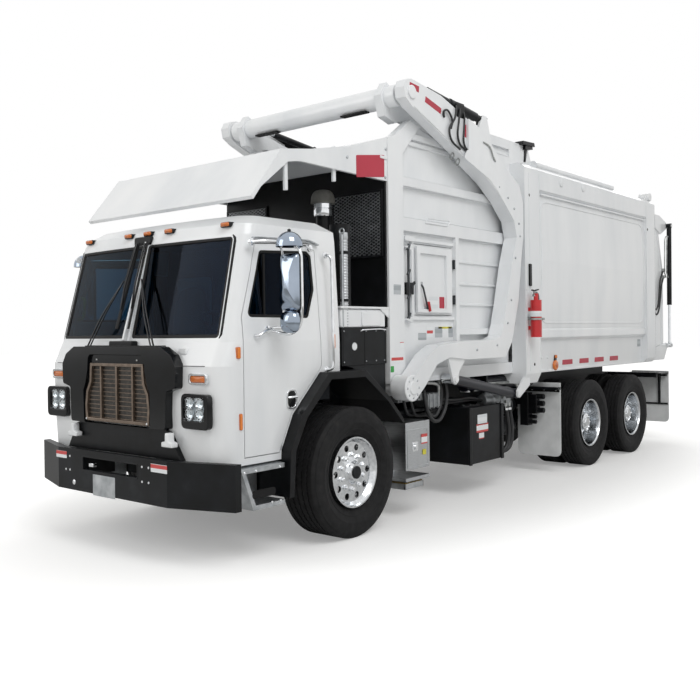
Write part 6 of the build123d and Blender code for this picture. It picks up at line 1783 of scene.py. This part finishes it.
# A flat black plate that paints the shade inside the step's slot.
slot = side_plate(rectangle((-1.02, 0.52), 0.24, 0.06, 0.028), ACCESS_X - 0.002, ACCESS_X + 0.001)
put("cab_step_slot_shade", both(slot), seal_rubber)
step_rivets = bolts([(ACCESS_X, y, z) for y, z in ((-1.215, 0.69), (-1.1, 0.69), (-0.85, 0.69),
                                                   (-0.85, 0.44), (-0.94, 0.44))], "x", 0.01, 0.006, 12)
put("cab_step_rivets", both(step_rivets), chrome)
made("cab step pieces")

# %% [markdown]
# ## Seats
#
# Each seat is a foam cushion and a back on a low pedestal. A cushion is an outline that
# swells: its half thickness follows a superellipse over its face, and Subdivision Surface
# rounds the result. The foam is stuffed and sewn, so nothing on it hangs or creases.

# %% Cushions from a swelling profile
def cushion(low, high, swell, power=3.5, steps=18):
    """A pillow in a box: P = centre + size * sign(s) * |s|^(2 / power), bulged by swell.

    Here s runs over the unit sphere; a higher power makes a squarer pillow.
    """
    low, high = np.array(low, float), np.array(high, float)
    u = np.linspace(-np.pi / 2, np.pi / 2, steps + 1)[1:-1][:, None]
    v = np.linspace(0, 2 * np.pi, 2 * steps, endpoint=False)[None]
    ball = np.stack([np.cos(u) * np.cos(v), np.cos(u) * np.sin(v), np.sin(u) + 0 * v], -1)
    soft = np.sign(ball) * np.abs(ball) ** (2 / power)
    reach = 1 - swell * (np.abs(soft).max(-1, keepdims=True) - 0.8)
    return grid((low + high) / 2 + (high - low) / 2 * soft * reach)


seat_parts, pedestals = [], []
for side in (1, -1):
    base = cushion((side * 0.59 - 0.225, along(-0.62), 1.3), (side * 0.59 + 0.225, along(-0.24), 1.48), 0.1)
    back = cushion((-0.215, -0.045, 0.0), (0.215, 0.045, 0.64), 0.1)
    back = turned(back, (1, 0, 0), -0.13)
    back = moved(back, (side * 0.59, along(-0.262), 1.49))
    seat_parts += [base, back]
    pedestals.append(block((side * 0.59 - 0.17, side * 0.59 + 0.17), (-0.57, -0.28), (1.1, 1.33)))
cushions = put("seat_cushions", seat_parts, seat_cloth, angle=80, replaces=("seats",))
smooth = cushions.modifiers.new("foam", "SUBSURF")
smooth.levels = smooth.render_levels = 1
put("seat_pedestals", pedestals, black_moulding, bevel=0.01)
made("seats")

# %% [markdown]
# ## Light and floor
#
# The photograph is a cut-out on white. The floor and the sky are white to the camera and to
# reflections, while the truck itself is lit by soft panels at a plain level, so that a paint
# renders about as its colour is written. Close to the truck the floor's lift is weaker, which
# paints a soft shadow pool round it.

# %% Sky
SKY_AMBIENT = 0.47
world = bpy.data.worlds.new("sky")
bpy.context.scene.world = world
world.use_nodes = True
tree = world.node_tree
tree.nodes.clear()
ambient = add_node(tree, "ShaderNodeBackground", values={"Color": linear("#fbfaf6"),
                                                         "Strength": SKY_AMBIENT})
seen = add_node(tree, "ShaderNodeBackground", values={"Color": (1, 1, 1, 1), "Strength": 1.0})
path = add_node(tree, "ShaderNodeLightPath")
any_seen = add_node(tree, "ShaderNodeMath", {"operation": "MAXIMUM"},
                    links={0: path.outputs["Is Camera Ray"], 1: path.outputs["Is Transmission Ray"]})
any_seen = add_node(tree, "ShaderNodeMath", {"operation": "MAXIMUM"},
                    links={0: any_seen.outputs[0], 1: path.outputs["Is Glossy Ray"]})
mixed = add_node(tree, "ShaderNodeMixShader", links={0: any_seen.outputs[0], 1: ambient.outputs[0],
                                                     2: seen.outputs[0]})
add_node(tree, "ShaderNodeOutputWorld", links={"Surface": mixed.outputs[0]})

print("sky strength", SKY_AMBIENT)

# %% Floor: matt, with a lift that fades in away from the truck, so a painted shadow pool lies round it
floor_mesh = bpy.data.meshes.new("floor")
span = 60.0
floor_mesh.from_pydata([(-span, -span, 0), (span, -span, 0), (span, span, 0), (-span, span, 0)], [],
                       [(0, 1, 2, 3)])
floor = bpy.data.objects.new("floor", floor_mesh)
bpy.context.scene.collection.objects.link(floor)
# The lift near the truck and far from it: the weak near lift is a painted shadow round the truck.
FLOOR_LIFT = (0.24, 0.8)
floor_paint = bpy.data.materials.new("studio_floor")
floor_paint.use_nodes = True
tree = floor_paint.node_tree
tree.nodes.clear()
matt = add_node(tree, "ShaderNodeBsdfDiffuse", values={"Color": linear("#e8e8e8")})
glow = add_node(tree, "ShaderNodeEmission", values={"Color": (1, 1, 1, 1)})
path = add_node(tree, "ShaderNodeLightPath")
here = add_node(tree, "ShaderNodeTexCoord").outputs["Object"]
ring = add_node(tree, "ShaderNodeMapping", values={"Scale": (1 / 2.6, 1 / 5.6, 1.0)},
                links={"Vector": here})
reach = add_node(tree, "ShaderNodeVectorMath", {"operation": "LENGTH"}, links={0: ring.outputs["Vector"]})
# Painted shadow: the camera sees the floor darker inside the ellipse round the truck.
painted_shadow_lift = add_node(tree, "ShaderNodeMapRange", {"interpolation_type": "SMOOTHSTEP"},
                {"From Min": 0.55, "From Max": 1.6, "To Min": FLOOR_LIFT[0], "To Max": FLOOR_LIFT[1]},
                {"Value": reach.outputs["Value"]})
lift = add_node(tree, "ShaderNodeMath", {"operation": "MULTIPLY"},
                links={0: path.outputs["Is Camera Ray"], 1: painted_shadow_lift.outputs["Result"]})
tree.links.new(lift.outputs[0], glow.inputs["Strength"])
lifted = add_node(tree, "ShaderNodeAddShader", links={0: matt.outputs[0], 1: glow.outputs[0]})
add_node(tree, "ShaderNodeOutputMaterial", links={"Surface": lifted.outputs[0]})
floor_mesh.materials.append(floor_paint)


print("floor lift", FLOOR_LIFT)


# %% Soft panels
def soft_panel(name, place, aim, size, power):
    """A square area lamp that looks at a point."""
    data = bpy.data.lights.new(name, "AREA")
    data.shape = "SQUARE"
    data.size = size
    data.energy = power
    lamp = bpy.data.objects.new(name, data)
    bpy.context.scene.collection.objects.link(lamp)
    back = np.array(place) - np.array(aim)
    back = back / np.linalg.norm(back)
    side = np.cross([0, 0, 1], back)
    side = side / np.linalg.norm(side)
    top = np.cross(back, side)
    lamp.matrix_world = Matrix((
        (side[0], top[0], back[0], place[0]),
        (side[1], top[1], back[1], place[1]),
        (side[2], top[2], back[2], place[2]),
        (0, 0, 0, 1),
    ))
    return lamp


soft_panel("key_panel", (9, -6, 11), (0, 0, 1.5), 7, 700)
soft_panel("front_panel", (-5, -13, 6), (0, -3, 1.5), 7, 285)
soft_panel("rear_panel", (-4, 12, 9), (0, 2, 1.5), 8, 285)

bpy.context.scene.view_settings.view_transform = "Standard"
print("view", bpy.context.scene.view_settings.view_transform)
